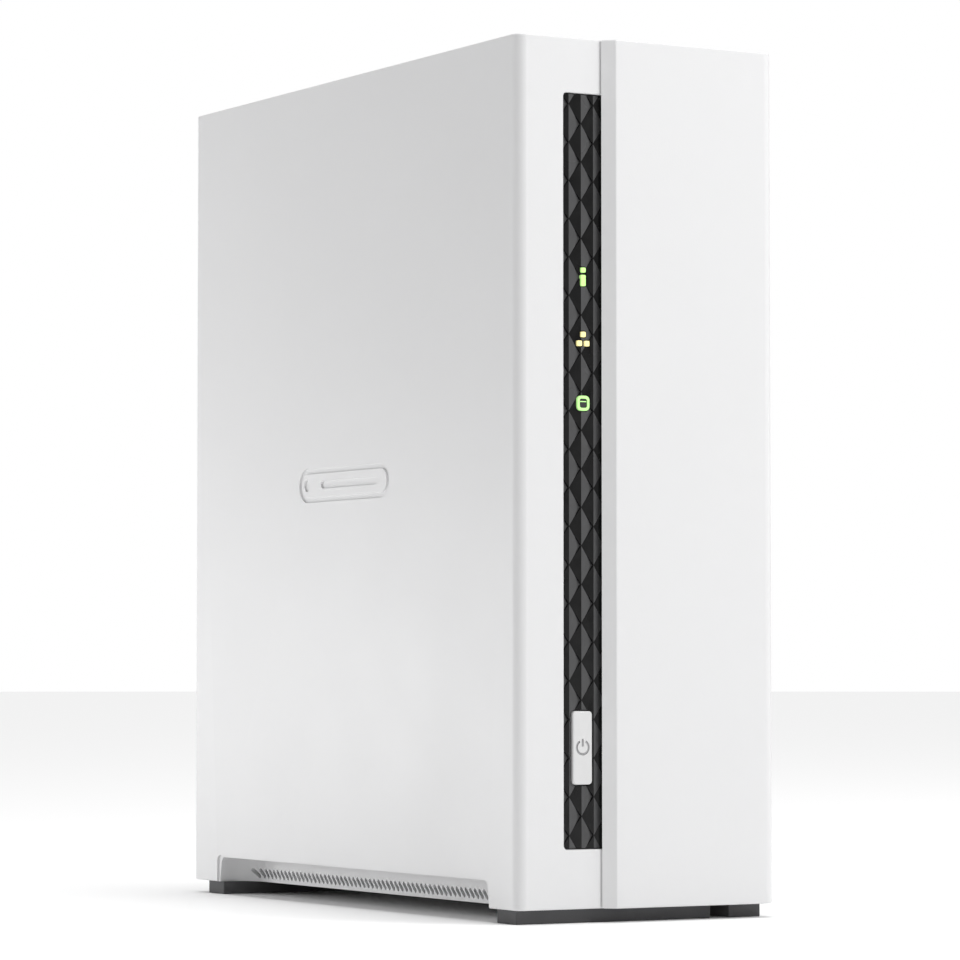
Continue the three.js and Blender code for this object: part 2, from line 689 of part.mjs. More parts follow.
function heatSink() {
  const size = 30;
  const base = BOARD_FACE + PROCESSOR.thick;
  const fins = 9;
  const finThick = 1.1;
  const ys = [PROCESSOR.y - size / 2, PROCESSOR.y + size / 2];
  const zs = [PROCESSOR.z - size / 2, PROCESSOR.z + size / 2];
  const pitch = (size - finThick) / (fins - 1);
  const rows = Array.from({ length: fins }, (_, i) => {
    const y = ys[0] + i * pitch;
    return block([base + 1.5, base + 11], [y, y + finThick], zs);
  });
  return join(block([base, base + 2], ys, zs), ...rows);
}

piece("heat_sink", surface(heatSink()), MATERIALS.heatSink);
const battery = rodX(6.2, [BOARD_FACE, BOARD_FACE + 2.4], -18, 32, ROUND);
piece("clock_battery", surface(battery), MATERIALS.steel);

/** The outer block of a socket, from the board to its mouth in the back wall. */
function socketBlock({ x1, z, height, y0 }) {
  return block([BOARD_FACE, x1], [y0, SOCKET_END], [z - height / 2, z + height / 2]);
}

function networkSocket() {
  const { z } = SOCKETS.network;
  const floor = BOARD_FACE + 3;
  const depth = [SOCKET_END - 13, SOCKET_END + 1];
  return cut(
    socketBlock(SOCKETS.network),
    block([floor, floor + 6.8], depth, [z - 5.9, z + 5.9]),
    block([floor + 6.7, floor + 8.6], depth, [z - 3, z + 3]),
  );
}

/** A USB socket: a thin shell around a tongue. */
function usbSocket(place) {
  const { x1, z } = place;
  const inside = [BOARD_FACE + 1, x1 - 0.8];
  const tongue = [BOARD_FACE + 2.6, BOARD_FACE + 4.4];
  return join(
    cut(socketBlock(place), block(inside, [SOCKET_END - 13, SOCKET_END + 1], [z - 6.3, z + 6.3])),
    block(tongue, [SOCKET_END - 13.5, SOCKET_END - 1.5], [z - 5.5, z + 5.5]),
  );
}

function powerSocket() {
  const { x1, z } = SOCKETS.power;
  const x = (BOARD_FACE + x1) / 2;
  return join(
    cut(socketBlock(SOCKETS.power), rodY(3.2, [SOCKET_END - 10, SOCKET_END + 1], x, z)),
    rodY(1, [SOCKET_END - 10.5, SOCKET_END - 1], x, z, SMALL_ROUND),
  );
}

piece("network_socket", surface(networkSocket()), MATERIALS.steel);
piece("usb_socket_upper", surface(usbSocket(SOCKETS.usbUpper)), MATERIALS.steel);
piece("usb_socket_lower", surface(usbSocket(SOCKETS.usbLower)), MATERIALS.steel);
piece("power_socket", surface(powerSocket()), MATERIALS.blackPlastic);

const RESET_SWITCH = { y0: 64.5, y1: 70, well: 3 };

function resetSwitch() {
  return cut(
    block([BOARD_FACE, BOARD_FACE + 4], [RESET_SWITCH.y0, RESET_SWITCH.y1], [RESET.z - 3, RESET.z + 3]),
    rodY(1.2, [RESET_SWITCH.y1 - RESET_SWITCH.well, RESET_SWITCH.y1 + 1], RESET.x, RESET.z, SMALL_ROUND),
  );
}

piece("reset_switch", surface(resetSwitch()), MATERIALS.chip);
const resetPlunger = new THREE.CylinderGeometry(1, 1, 4.4, SMALL_ROUND);
piece("reset_plunger", resetPlunger, MATERIALS.blackPlastic, RESET.x, RESET_SWITCH.y1 + 0.2, RESET.z);

// ---------------------------------------------------------------- fan

function fanFrame() {
  const half = FAN.size / 2;
  const outline = roundedRectangle(FAN.x - half, FAN.x + half, FAN.z - half, FAN.z + half, 3);
  const whole = [FAN_FRONT, FAN_REAR];
  const past = [FAN_FRONT - 1, FAN_REAR + 1];
  const spider = [FAN_REAR - 1.6, FAN_REAR];
  const arm = (FAN.bore + 1) * 2;
  const cross = join(
    block([FAN.x - arm / 2, FAN.x + arm / 2], spider, [FAN.z - 1.4, FAN.z + 1.4]),
    block([FAN.x - 1.4, FAN.x + 1.4], spider, [FAN.z - arm / 2, FAN.z + arm / 2]),
  );
  return cut(
    join(
      cut(alongY(outline, whole, 3), rodY(FAN.bore, past, FAN.x, FAN.z, 36)),
      cross,
      rodY(13, spider, FAN.x, FAN.z, 24),
    ),
    ...fanCorners().map(([x, z]) => rodY(1.9, past, x, z, SMALL_ROUND)),
  );
}

function fanImpeller() {
  const blades = 7;
  const hub = [FAN_FRONT + 0.8, FAN_REAR - 2.2];
  const middle = (hub[0] + hub[1]) / 2;
  const root = 12.4;
  const tip = 22.3;
  const fins = Array.from({ length: blades }, (_, i) => {
    const blade = new THREE.BoxGeometry(1.2, 12, tip - root);
    blade.rotateZ(THREE.MathUtils.degToRad(40));
    blade.translate(0, 0, (root + tip) / 2);
    blade.rotateY((i * 2 * Math.PI) / blades);
    return solid(blade.translate(FAN.x, middle, FAN.z));
  });
  return join(rodY(13.2, hub, FAN.x, FAN.z, 28), ...fins);
}

piece("fan_frame", surface(fanFrame()), MATERIALS.fanPlastic);
piece("fan_impeller", surface(fanImpeller()), MATERIALS.fanPlastic);
const fanScrew = screwGeometry({ head: 3, headHeight: 1.6, shank: 1.5, length: 9 });
fanCorners().forEach(([x, z], i) => {
  const name = `fan_screw_${i < 2 ? "lower" : "upper"}_${i % 2 ? "right" : "left"}`;
  piece(name, fanScrew, MATERIALS.steel, x, REAR_FACE, z);
});

// fan lead, from the frame to its socket on the main board
const FAN_PLUG = { y: 44, width: 8, z0: 98, z1: 104 };
const LEAD_RADIUS = 1.1;

function fanLead() {
  const x = BOARD_FACE + 2.6;
  const route = new THREE.CatmullRomCurve3([
    new THREE.Vector3(-20, FAN_FRONT - 0.3, 120),
    new THREE.Vector3(-20, FAN_FRONT - 5, 119.6),
    new THREE.Vector3(-20.6, 49.5, 117),
    new THREE.Vector3(-21.8, 46, 112.5),
    new THREE.Vector3(x, FAN_PLUG.y + 0.2, 108),
    new THREE.Vector3(x, FAN_PLUG.y, FAN_PLUG.z1 + 0.3),
  ]);
  const section = new THREE.Shape().absarc(0, 0, LEAD_RADIUS, 0, Math.PI * 2);
  return new THREE.ExtrudeGeometry(section, {
    extrudePath: route,
    steps: 14,
    curveSegments: 4,
    bevelEnabled: false,
  });
}

piece("fan_lead", surface(solid(fanLead())), MATERIALS.cable);
const fanPlug = new THREE.BoxGeometry(4.6, FAN_PLUG.width, FAN_PLUG.z1 - FAN_PLUG.z0);
piece("fan_plug", fanPlug, MATERIALS.lampBody, BOARD_FACE + 2.8, FAN_PLUG.y, (FAN_PLUG.z0 + FAN_PLUG.z1) / 2);
const fanSocket = new THREE.BoxGeometry(5.6, FAN_PLUG.width + 1.6, 5);
piece("fan_socket", fanSocket, MATERIALS.lampBody, BOARD_FACE + 2.8, FAN_PLUG.y, FAN_PLUG.z0 - 2.5);

// ---------------------------------------------------------------- drive, its bracket and its connector

const RISER = { x1: 12, y0: 2, y1: 51, z0: 14.6 };
const CONNECTOR = { x0: 2.2, x1: 8, y0: 5.5, y1: 48.5 };
const DRIVE_BOARD = { y0: -44, y1: 46, z1: 95, thick: 1.5 };

const riser = block([BOARD_FACE, RISER.x1], [RISER.y0, RISER.y1], [RISER.z0, RISER.z0 + BOARD_THICK]);
piece("drive_riser_board", surface(riser), MATERIALS.circuitBoard);
const connector = block(
  [CONNECTOR.x0, CONNECTOR.x1],
  [CONNECTOR.y0, CONNECTOR.y1],
  [RISER.z0 + BOARD_THICK, DRIVE.z0 - 0.3],
);
piece("drive_connector", surface(connector), MATERIALS.blackPlastic);

const driveY = [DRIVE.y0, DRIVE.y0 + DRIVE.width];
const driveZ = [DRIVE.z0, DRIVE.z0 + DRIVE.length];
const LID_THICK = 1.3;
const castEnd = DRIVE.x0 + DRIVE.thick - LID_THICK - 0.1;

function driveBase() {
  const outline = roundedRectangle(driveY[0], driveY[1], driveZ[0], driveZ[1], 2.5);
  const chamber = roundedRectangle(driveY[0] + 5, driveY[1] - 5, driveZ[0] + 6, driveZ[1] - 5, 12);
  const boardBed = block(
    [DRIVE.x0 - 1, DRIVE.x0 + DRIVE_BOARD.thick + 0.2],
    [DRIVE_BOARD.y0 - 0.5, DRIVE_BOARD.y1 + 0.5],
    [DRIVE.z0 - 1, DRIVE_BOARD.z1 + 0.5],
  );
  const sideHoles = DRIVE_HOLE_Z.flatMap((z) => [
    rodY(1.8, [driveY[0] - 1, driveY[0] + 5], DRIVE_HOLE_X, z, SMALL_ROUND),
    rodY(1.8, [driveY[1] - 5, driveY[1] + 1], DRIVE_HOLE_X, z, SMALL_ROUND),
  ]);
  return cut(
    alongX(outline, [DRIVE.x0, castEnd], 3),
    alongX(chamber, [castEnd - 11, castEnd + 1]),
    boardBed,
    ...sideHoles,
  );
}

piece("drive_base", surface(driveBase()), MATERIALS.castAluminium);
const lidOutline = roundedRectangle(driveY[0] + 1.5, driveY[1] - 1.5, driveZ[0] + 1.5, driveZ[1] - 1.5, 5);
const lid = alongX(lidOutline, [castEnd + 0.1, castEnd + 0.1 + LID_THICK]);
piece("drive_lid", surface(lid), MATERIALS.steel);
const driveBoard = block(
  [DRIVE.x0, DRIVE.x0 + DRIVE_BOARD.thick],
  [DRIVE_BOARD.y0, DRIVE_BOARD.y1],
  [DRIVE.z0 + 0.5, DRIVE_BOARD.z1],
);
piece("drive_circuit_board", surface(driveBoard), MATERIALS.circuitBoard);

/** A folded steel channel that holds the drive by its long sides and hangs on three posts. */
function driveBracket() {
  const gap = 0.3;
  const sides = [driveY[0] - gap, driveY[1] + gap];
  const plate = [BRACKET_X, BRACKET_X + BRACKET_THICK];
  const tall = [32, 164];
  const ears = POSTS.map(({ y, z }) => {
    const inner = y < 0 ? sides[0] + 4 : sides[1] - 4;
    const outer = y + Math.sign(y) * 4;
    return block(plate, [Math.min(inner, outer), Math.max(inner, outer)], [z - 5, z + 5]);
  });
  const bridge = block(plate, [sides[1] - 14, sides[1]], [tall[1] - 1, 179]);
  const windows = [54, 76, 98, 120, 142].map((z) => roundedRectangle(-36, 38, z - 8, z + 8, 5));
  const channel = join(
    block(plate, [sides[0] - BRACKET_THICK, sides[1] + BRACKET_THICK], tall),
    block([BRACKET_X, 16], [sides[0] - BRACKET_THICK, sides[0]], tall),
    block([BRACKET_X, 16], [sides[1], sides[1] + BRACKET_THICK], tall),
    bridge,
    ...ears,
  );
  const driveHoles = DRIVE_HOLE_Z.map((z) =>
    rodY(1.9, [driveY[0] - 4, driveY[1] + 4], DRIVE_HOLE_X, z, SMALL_ROUND),
  );
  const postHoles = POSTS.map(({ y, z }) =>
    rodX(SCREW.hole, [BRACKET_X - 1, BRACKET_X + 2], y, z, SMALL_ROUND),
  );
  return cut(channel, alongX(windows, [BRACKET_X - 1, BRACKET_X + 2], 3), ...driveHoles, ...postHoles);
}

piece("drive_bracket", surface(driveBracket()), MATERIALS.steel);
POSTS.forEach(({ y, z }, i) => {
  const name = `bracket_screw_${["lower", "upper", "rear"][i]}`;
  piece(name, smallScrew, MATERIALS.steel, BRACKET_X + BRACKET_THICK, y, z).rotation.z = -Math.PI / 2;
});

const driveScrew = screwGeometry({ head: 3.1, headHeight: 1.7, shank: 1.6, length: 4.6 });
DRIVE_HOLE_Z.forEach((z, i) => {
  const level = i ? "upper" : "lower";
  const offset = 0.3 + BRACKET_THICK;
  for (const [end, y, turn] of [["front", driveY[0] - offset, Math.PI], ["rear", driveY[1] + offset, 0]]) {
    const name = `drive_screw_${end}_${level}`;
    piece(name, driveScrew, MATERIALS.steel, DRIVE_HOLE_X, y, z).rotation.z = turn;
  }
});

// ---------------------------------------------------------------- screws that hold the cover

const coverScrew = screwGeometry({ head: 3.2, headHeight: 1.6, shank: 1.5, length: REAR_FACE - TAB.y0 + 1 });
for (const { name, x, z } of COVER_SCREWS) {
  piece(name, coverScrew, MATERIALS.steel, x, REAR_FACE + 0.05, z);
}

export default nas;
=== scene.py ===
"""A slim upright network storage enclosure: two moulded shells around a hard drive, boards and a fan."""
import math

import bmesh
import bpy
from mathutils import Matrix, Vector


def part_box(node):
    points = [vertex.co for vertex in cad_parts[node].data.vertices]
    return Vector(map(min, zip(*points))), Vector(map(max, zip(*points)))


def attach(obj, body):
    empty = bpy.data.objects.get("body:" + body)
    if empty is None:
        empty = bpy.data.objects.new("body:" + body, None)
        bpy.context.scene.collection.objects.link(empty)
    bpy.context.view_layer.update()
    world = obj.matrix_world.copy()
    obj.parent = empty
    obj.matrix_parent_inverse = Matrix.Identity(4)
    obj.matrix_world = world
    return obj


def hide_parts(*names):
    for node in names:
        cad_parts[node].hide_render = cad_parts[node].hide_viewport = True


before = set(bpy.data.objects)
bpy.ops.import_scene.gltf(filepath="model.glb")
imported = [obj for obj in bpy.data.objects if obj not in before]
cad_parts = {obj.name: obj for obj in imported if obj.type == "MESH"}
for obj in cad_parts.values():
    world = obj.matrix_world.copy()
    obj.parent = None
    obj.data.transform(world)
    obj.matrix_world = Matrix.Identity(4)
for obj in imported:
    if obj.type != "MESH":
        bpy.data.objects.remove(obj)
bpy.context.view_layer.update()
MM = 0.001


def span(node):
    """A CAD node's box in millimetres, as its low and its high corner."""
    low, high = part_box(node)
    return Vector(low) / MM, Vector(high) / MM


def middle(node):
    low, high = span(node)
    return (low + high) / 2


def halfway(low, high):
    """The point between two corners, as plain numbers."""
    return tuple((a + b) / 2 for a, b in zip(low, high))


# ------------------------------------------------------------------ places taken from the frame

shell_low = span("left_shell")[0]
cover_low, cover_high = span("right_cover")
LEFT, FRONT, BOTTOM = shell_low
RIGHT, BACK, TOP = cover_high
PANEL_FACE = cover_low.y
PANEL_FOOT_X = cover_low.x
WALL = 2.0
SEAM = 0.3
SPLIT_X = 19.75
REAR_LIP = 1.8
REAR_FACE = BACK - REAR_LIP
INNER_FRONT = FRONT + WALL
INNER_REAR = REAR_FACE - WALL
window_low, window_high = span("front_window")
FLANGE_SIDE, FLANGE_END = 1.9, 2.1
WINDOW = (window_low.x + FLANGE_SIDE, window_high.x - FLANGE_SIDE,
          window_low.z + FLANGE_END, window_high.z - FLANGE_END)
WINDOW_FLOOR = FRONT + 0.95
key_low, key_high = span("power_button")
KEY_X, _, KEY_Z = middle("power_button")
BOARD_FACE = span("main_board")[1].x
BOARD_BACK = span("main_board")[0].x
INDICATOR_FACE = span("indicator_board")[0].y
FAN_X, _, FAN_Z = middle("fan_frame")
FAN_FRONT, FAN_REAR = span("fan_frame")[0].y, span("fan_frame")[1].y


# ------------------------------------------------------------------ outlines, as lists of (a, b)

def arc(a, b, radius, start, end, steps=6):
    """Points along an arc; the angles are in degrees."""
    turn = [math.radians(start + (end - start) * i / steps) for i in range(steps + 1)]
    return [(a + radius * math.cos(t), b + radius * math.sin(t)) for t in turn]


def round_box(a0, a1, b0, b1, radius, steps=6):
    """A rectangle with round corners, anticlockwise."""
    r = radius
    return (arc(a1 - r, b0 + r, r, -90, 0, steps) + arc(a1 - r, b1 - r, r, 0, 90, steps)
            + arc(a0 + r, b1 - r, r, 90, 180, steps) + arc(a0 + r, b0 + r, r, 180, 270, steps))


def circle(a, b, radius, sides=32):
    return arc(a, b, radius, 0, 360 * (1 - 1 / sides), sides - 1)


def rounded(corners, steps=6):
    """An outline from corners given as (a, b, radius), anticlockwise."""
    points = []
    for i, (a, b, radius) in enumerate(corners):
        here = Vector((a, b))
        if radius <= 0:
            points.append((a, b))
            continue
        back = (Vector(corners[i - 1][:2]) - here).normalized()
        ahead = (Vector(corners[(i + 1) % len(corners)][:2]) - here).normalized()
        half = back.angle(ahead) / 2
        centre = here + (back + ahead).normalized() * (radius / math.sin(half))
        first = here + back * (radius / math.tan(half)) - centre
        last = here + ahead * (radius / math.tan(half)) - centre
        sweep = first.angle_signed(last)
        for k in range(steps + 1):
            turned = Matrix.Rotation(-sweep * k / steps, 2) @ first
            points.append(tuple(centre + turned))
    return points


def lean_slot(a, b, width, height, lean, steps=4):
    """A slot with round ends whose top is moved by lean against its bottom."""
    length = math.hypot(height - width, lean)
    tilt = math.degrees(math.atan2(height - width, lean)) - 90
    flat = round_box(-width / 2, width / 2, -(length + width) / 2, (length + width) / 2, width / 2 - 0.001,
                     steps)
    turn = Matrix.Rotation(math.radians(tilt), 2)
    return [tuple(turn @ Vector(p) + Vector((a, b))) for p in flat]


def grown(points, distance):
    """The outline moved outwards by distance, mitred at its corners."""
    if abs(distance) < 1e-9:
        return list(points)
    result = []
    for i, (a, b) in enumerate(points):
        before = Vector(points[i - 1])
        here = Vector((a, b))
        after = Vector(points[(i + 1) % len(points)])
        one = (here - before).normalized()
        two = (after - here).normalized()
        n1, n2 = Vector((one.y, -one.x)), Vector((two.y, -two.x))
        result.append(tuple(here + (n1 + n2) * (distance / max(0.2, 1 + n1.dot(n2)))))
    return result


# ------------------------------------------------------------------ solids, in millimetres

AXES = {
    "X": lambda a, b, h: (h, a, b),
    "Y": lambda a, b, h: (a, h, b),
    "Z": lambda a, b, h: (a, b, h),
}


def skin(bm, loops, poles=None):
    """Faces between equal rings of vertices; each end is one face, or a fan to its pole."""
    count = len(loops[0])
    pairs = [(i, (i + 1) % count) for i in range(count)]
    faces = []
    for low, high in zip(loops, loops[1:]):
        faces += [bm.faces.new((low[i], low[k], high[k], high[i])) for i, k in pairs]
    if poles:
        for i, k in pairs:
            faces.append(bm.faces.new((poles[0], loops[0][k], loops[0][i])))
            faces.append(bm.faces.new((poles[1], loops[-1][i], loops[-1][k])))
    else:
        faces += [bm.faces.new(loops[0][::-1]), bm.faces.new(loops[-1])]
    bmesh.ops.recalc_face_normals(bm, faces=faces)


def stack(bm, rings, axis):
    """Joins equal rings of points, each (outline, height), into one closed solid."""
    place = AXES[axis]
    skin(bm, [[bm.verts.new(Vector(place(a, b, h)) * MM) for a, b in points] for points, h in rings])


def edge_steps(radius, count):
    """Depth and inset of a quarter round, from its outer end to where the wall starts."""
    turns = [math.pi / 2 * i / count for i in range(count + 1)]
    return [(radius * (1 - math.sin(t)), radius * (1 - math.cos(t))) for t in turns][::-1]


def prism(bm, points, axis, low, high, edge=0.0, steps=3, low_edge=None):
    """A solid with the outline as its section; its two rims are rounded by edge."""
    low_edge = edge if low_edge is None else low_edge
    rings = []
    for depth, inset in (edge_steps(low_edge, steps) if low_edge else [(0, 0)]):
        rings.append((grown(points, -inset), low + depth))
    for depth, inset in reversed(edge_steps(edge, steps) if edge else [(0, 0)]):
        rings.append((grown(points, -inset), high - depth))
    stack(bm, rings, axis)


def cutter(bm, points, axis, low, high, mouth, flare=0.2, steps=3):
    """A cutting solid whose outline opens out in a round lip where it meets the face at mouth."""
    rings = []
    outward = 1 if abs(high - mouth) < abs(low - mouth) else -1
    inner, outer = (low, high) if outward > 0 else (high, low)
    rings.append((points, inner))
    for i in range(steps + 1):
        t = math.pi / 2 * i / steps
        rings.append((grown(points, flare * (1 - math.cos(t))), mouth - outward * flare * (1 - math.sin(t))))
    rings.append((grown(points, flare), outer))
    stack(bm, rings, axis)


def lathe(bm, profile, axis, centre, sides=24):
    """A turned solid; the profile is (radius, height) from end to end, on the axis at both ends."""
    a0, b0 = centre
    place = AXES[axis]
    poles = [bm.verts.new(Vector(place(a0, b0, profile[i][1])) * MM) for i in (0, -1)]
    loops = []
    for radius, height in profile[1:-1]:
        ring = [Vector(p) for p in circle(0, 0, radius, sides)]
        loops.append([bm.verts.new(Vector(place(a0 + p.x, b0 + p.y, height)) * MM) for p in ring])
    skin(bm, loops, poles)


def slab(bm, low, high, edge=0.15, axis="Z", steps=2):
    """A box with small round corners and rims."""
    (x0, y0, z0), (x1, y1, z1) = low, high
    spans = {"X": (y0, y1, z0, z1, x0, x1), "Y": (x0, x1, z0, z1, y0, y1), "Z": (x0, x1, y0, y1, z0, z1)}
    a0, a1, b0, b1, h0, h1 = spans[axis]
    edge = min(edge, (a1 - a0) * 0.3, (b1 - b0) * 0.3, (h1 - h0) * 0.3)
    prism(bm, round_box(a0, a1, b0, b1, edge * 1.3 + 0.01, steps + 1), axis, h0, h1, edge, steps)


def tube(bm, path, radius, sides=10):
    """A round tube along a list of points, with flat ends."""
    points = [Vector(p) for p in path]
    loops = []
    up = Vector((0.13, 0.21, 0.97)).normalized()
    for i, point in enumerate(points):
        ahead = points[min(i + 1, len(points) - 1)] - points[max(i - 1, 0)]
        ahead.normalize()
        side = ahead.cross(up).normalized()
        up = side.cross(ahead).normalized()
        ring = [point + (side * a + up * b) for a, b in circle(0, 0, radius, sides)]
        loops.append([bm.verts.new(p * MM) for p in ring])
    skin(bm, loops)


def smooth_path(points, per_span=6):
    """A smooth curve through the points."""
    spots = [Vector(p) for p in points]
    spots = [spots[0] * 2 - spots[1]] + spots + [spots[-1] * 2 - spots[-2]]
    path = []
    for p0, p1, p2, p3 in zip(spots, spots[1:], spots[2:], spots[3:]):
        for k in range(per_span):
            t = k / per_span
            path.append(0.5 * ((2 * p1) + (p2 - p0) * t + (2 * p0 - 5 * p1 + 4 * p2 - p3) * t * t
                               + (3 * p1 - p0 - 3 * p2 + p3) * t ** 3))
    return path + [spots[-2]]


# ------------------------------------------------------------------ objects

def new_object(name, build, *values, **more):
    """An object whose mesh is what build(bm, *values, **more) makes."""
    bm = bmesh.new()
    build(bm, *values, **more)
    mesh = bpy.data.meshes.new(name)
    bm.to_mesh(mesh)
    bm.free()
    return place_object(name, mesh)


def place_object(name, data):
    """A new object in the scene."""
    obj = bpy.data.objects.new(name, data)
    bpy.context.collection.objects.link(obj)
    return obj


def turned_copy(name, pattern, place, turn):
    """A copy of a mesh, turned and then moved to a place in millimetres."""
    mesh = pattern.copy()
    mesh.transform(Matrix.Translation(place * MM) @ turn)
    return place_object(name, mesh)


def baked(obj):
    """Applies the object's modifiers to its mesh."""
    graph = bpy.context.evaluated_depsgraph_get()
    mesh = bpy.data.meshes.new_from_object(obj.evaluated_get(graph))
    obj.modifiers.clear()
    obj.data = mesh


def combine(obj, operation, tool):
    """Cuts, joins or intersects the object with a tool object, and removes the tool."""
    modifier = obj.modifiers.new("combine", "BOOLEAN")
    modifier.operation = operation
    modifier.solver = "EXACT"
    modifier.object = tool
    baked(obj)
    bpy.data.objects.remove(tool)


def cut(obj, build, *values, **more):
    """Cuts away what build(bm, *values, **more) makes; the solids it makes don't touch each other."""
    combine(obj, "DIFFERENCE", new_object("cutting_tool", build, *values, **more))


def join(obj, build, *values, **more):
    """Adds what build(bm, *values, **more) makes."""
    combine(obj, "UNION", new_object("joined_block", build, *values, **more))


def finish_piece(obj, material, body, replaces=(), angle=35):
    """Gives a piece its smooth shading and material, and says what it rides on and stands for."""
    bm = bmesh.new()
    bm.from_mesh(obj.data)
    bmesh.ops.remove_doubles(bm, verts=bm.verts, dist=0.5e-6)
    bmesh.ops.dissolve_degenerate(bm, edges=bm.edges, dist=0.5e-6)
    bm.to_mesh(obj.data)
    bm.free()
    obj.data.shade_smooth()
    obj.data.set_sharp_from_angle(angle=math.radians(angle))
    weighted = obj.modifiers.new("even_shading", "WEIGHTED_NORMAL")
    weighted.keep_sharp = True
    weighted.weight = 100
    obj.data.materials.clear()
    obj.data.materials.append(material)
    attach(obj, body)
    if replaces:
        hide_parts(*replaces)
    return obj


def make(name, build, material, body, replaces=(), angle=35):
    """A piece built in one go by build(bm)."""
    return finish_piece(new_object(name, build), material, body, replaces, angle)


# ------------------------------------------------------------------ shader groups

def group(name, inputs, outputs):
    """An empty node group with its sockets; inputs and outputs are (name, type, default)."""
    tree = bpy.data.node_groups.new(name, "ShaderNodeTree")
    for label, kind, default in inputs:
        socket = tree.interface.new_socket(label, in_out="INPUT", socket_type=kind)
        if default is not None:
            socket.default_value = default
    for label, kind in outputs:
        tree.interface.new_socket(label, in_out="OUTPUT", socket_type=kind)
    return tree, tree.nodes.new("NodeGroupInput"), tree.nodes.new("NodeGroupOutput")


def feed(tree, target, values):
    """Sets a node's inputs: a socket is linked to the input, anything else becomes its value."""
    for key, value in values.items():
        socket = target.inputs[key.replace("_", " ") if isinstance(key, str) else key]
        if isinstance(value, bpy.types.NodeSocket):
            tree.links.new(value, socket)
        else:
            socket.default_value = value


def node(tree, kind, **values):
    """A node; a key is one of its plain properties or names one of its inputs."""
    made = tree.nodes.new(kind)
    plain = {key for key in values if hasattr(made, key)}
    for key in plain:
        setattr(made, key, values[key])
    feed(tree, made, {key: value for key, value in values.items() if key not in plain})
    return made


def maths(tree, operation, *values, clamp=False):
    """The result of a sum on numbers and sockets."""
    made = node(tree, "ShaderNodeMath", operation=operation, use_clamp=clamp)
    feed(tree, made, dict(enumerate(values)))
    return made.outputs[0]


def rise(tree, value, low, high):
    """0 below low, 1 above high."""
    made = node(tree, "ShaderNodeMapRange", clamp=True, Value=value, From_Min=low, From_Max=high)
    return made.outputs["Result"]


def blend(tree, mask, first, second):
    """The first colour where the mask is 0, the second where it is 1."""
    made = node(tree, "ShaderNodeMix", data_type="RGBA")
    feed(tree, made, {0: mask, 6: first, 7: second})
    return made.outputs[2]


def noise(tree, place, **values):
    """A noise value at each place."""
    return node(tree, "ShaderNodeTexNoise", Vector=place, **values).outputs["Fac"]


def object_place(tree):
    """The point on the object, in its own axes."""
    return node(tree, "ShaderNodeTexCoord").outputs["Object"]


def moulded_grain():
    """Fine spark texture for plastic: a height, a roughness change and a faint tone change."""
    tree, inside, outside = group(
        "moulded_grain",
        [("Scale", "NodeSocketFloat", 3000.0), ("Roughness", "NodeSocketFloat", 0.45),
         ("Colour", "NodeSocketColor", (0.8, 0.8, 0.8, 1)), ("Mottle", "NodeSocketFloat", 0.03)],
        [("Height", "NodeSocketFloat"), ("Roughness", "NodeSocketFloat"), ("Colour", "NodeSocketColor")])
    place = object_place(tree)
    broad = noise(tree, place, Scale=38.0, Detail=4.0, Roughness=0.55)
    centred = maths(tree, "SUBTRACT", broad, 0.5)
    tone = maths(tree, "MULTIPLY_ADD", centred, inside.outputs["Mottle"], 1.0)
    shade = node(tree, "ShaderNodeVectorMath", operation="SCALE", Scale=tone)
    feed(tree, shade, {0: inside.outputs["Colour"]})
    feed(tree, outside, {
        "Height": noise(tree, place, Scale=inside.outputs["Scale"], Detail=3.0, Roughness=0.6),
        "Roughness": maths(tree, "MULTIPLY_ADD", broad, 0.16, inside.outputs["Roughness"]),
        "Colour": shade.outputs["Vector"]})
    return tree


def worn_edges():
    """Where a convex edge is rubbed: the colour there, and the mask."""
    tree, inside, outside = group(
        "worn_edges",
        [("Colour", "NodeSocketColor", (0.8, 0.8, 0.8, 1)), ("Edge", "NodeSocketColor", (0.9, 0.9, 0.9, 1)),
         ("Amount", "NodeSocketFloat", 0.5)],
        [("Colour", "NodeSocketColor"), ("Mask", "NodeSocketFloat")])
    form = node(tree, "ShaderNodeNewGeometry")
    sharp = rise(tree, form.outputs["Pointiness"], 0.52, 0.62)
    patchy = maths(tree, "MULTIPLY", sharp, noise(tree, object_place(tree), Scale=240.0, Detail=3.0))
    mask = maths(tree, "MULTIPLY", patchy, inside.outputs["Amount"], clamp=True)
    feed(tree, outside, {"Colour": blend(tree, mask, inside.outputs["Colour"], inside.outputs["Edge"]),
                         "Mask": mask})
    return tree


def settled_dust():
    """A little dust on what faces up: the colour with the dust on it."""
    tree, inside, outside = group(
        "settled_dust",
        [("Colour", "NodeSocketColor", (0.8, 0.8, 0.8, 1)), ("Dust", "NodeSocketColor", (0.5, 0.48, 0.45, 1)),
         ("Amount", "NodeSocketFloat", 0.06)],
        [("Colour", "NodeSocketColor")])
    form = node(tree, "ShaderNodeNewGeometry")
    up = node(tree, "ShaderNodeSeparateXYZ", Vector=form.outputs["Normal"])
    specks = noise(tree, object_place(tree), Scale=900.0, Detail=4.0, Roughness=0.75)
    facing = maths(tree, "MULTIPLY", rise(tree, up.outputs["Z"], 0.6, 1.0), specks)
    much = maths(tree, "MULTIPLY", facing, inside.outputs["Amount"], clamp=True)
    feed(tree, outside, {"Colour": blend(tree, much, inside.outputs["Colour"], inside.outputs["Dust"])})
    return tree


GRAIN, WEAR, DUST = moulded_grain(), worn_edges(), settled_dust()


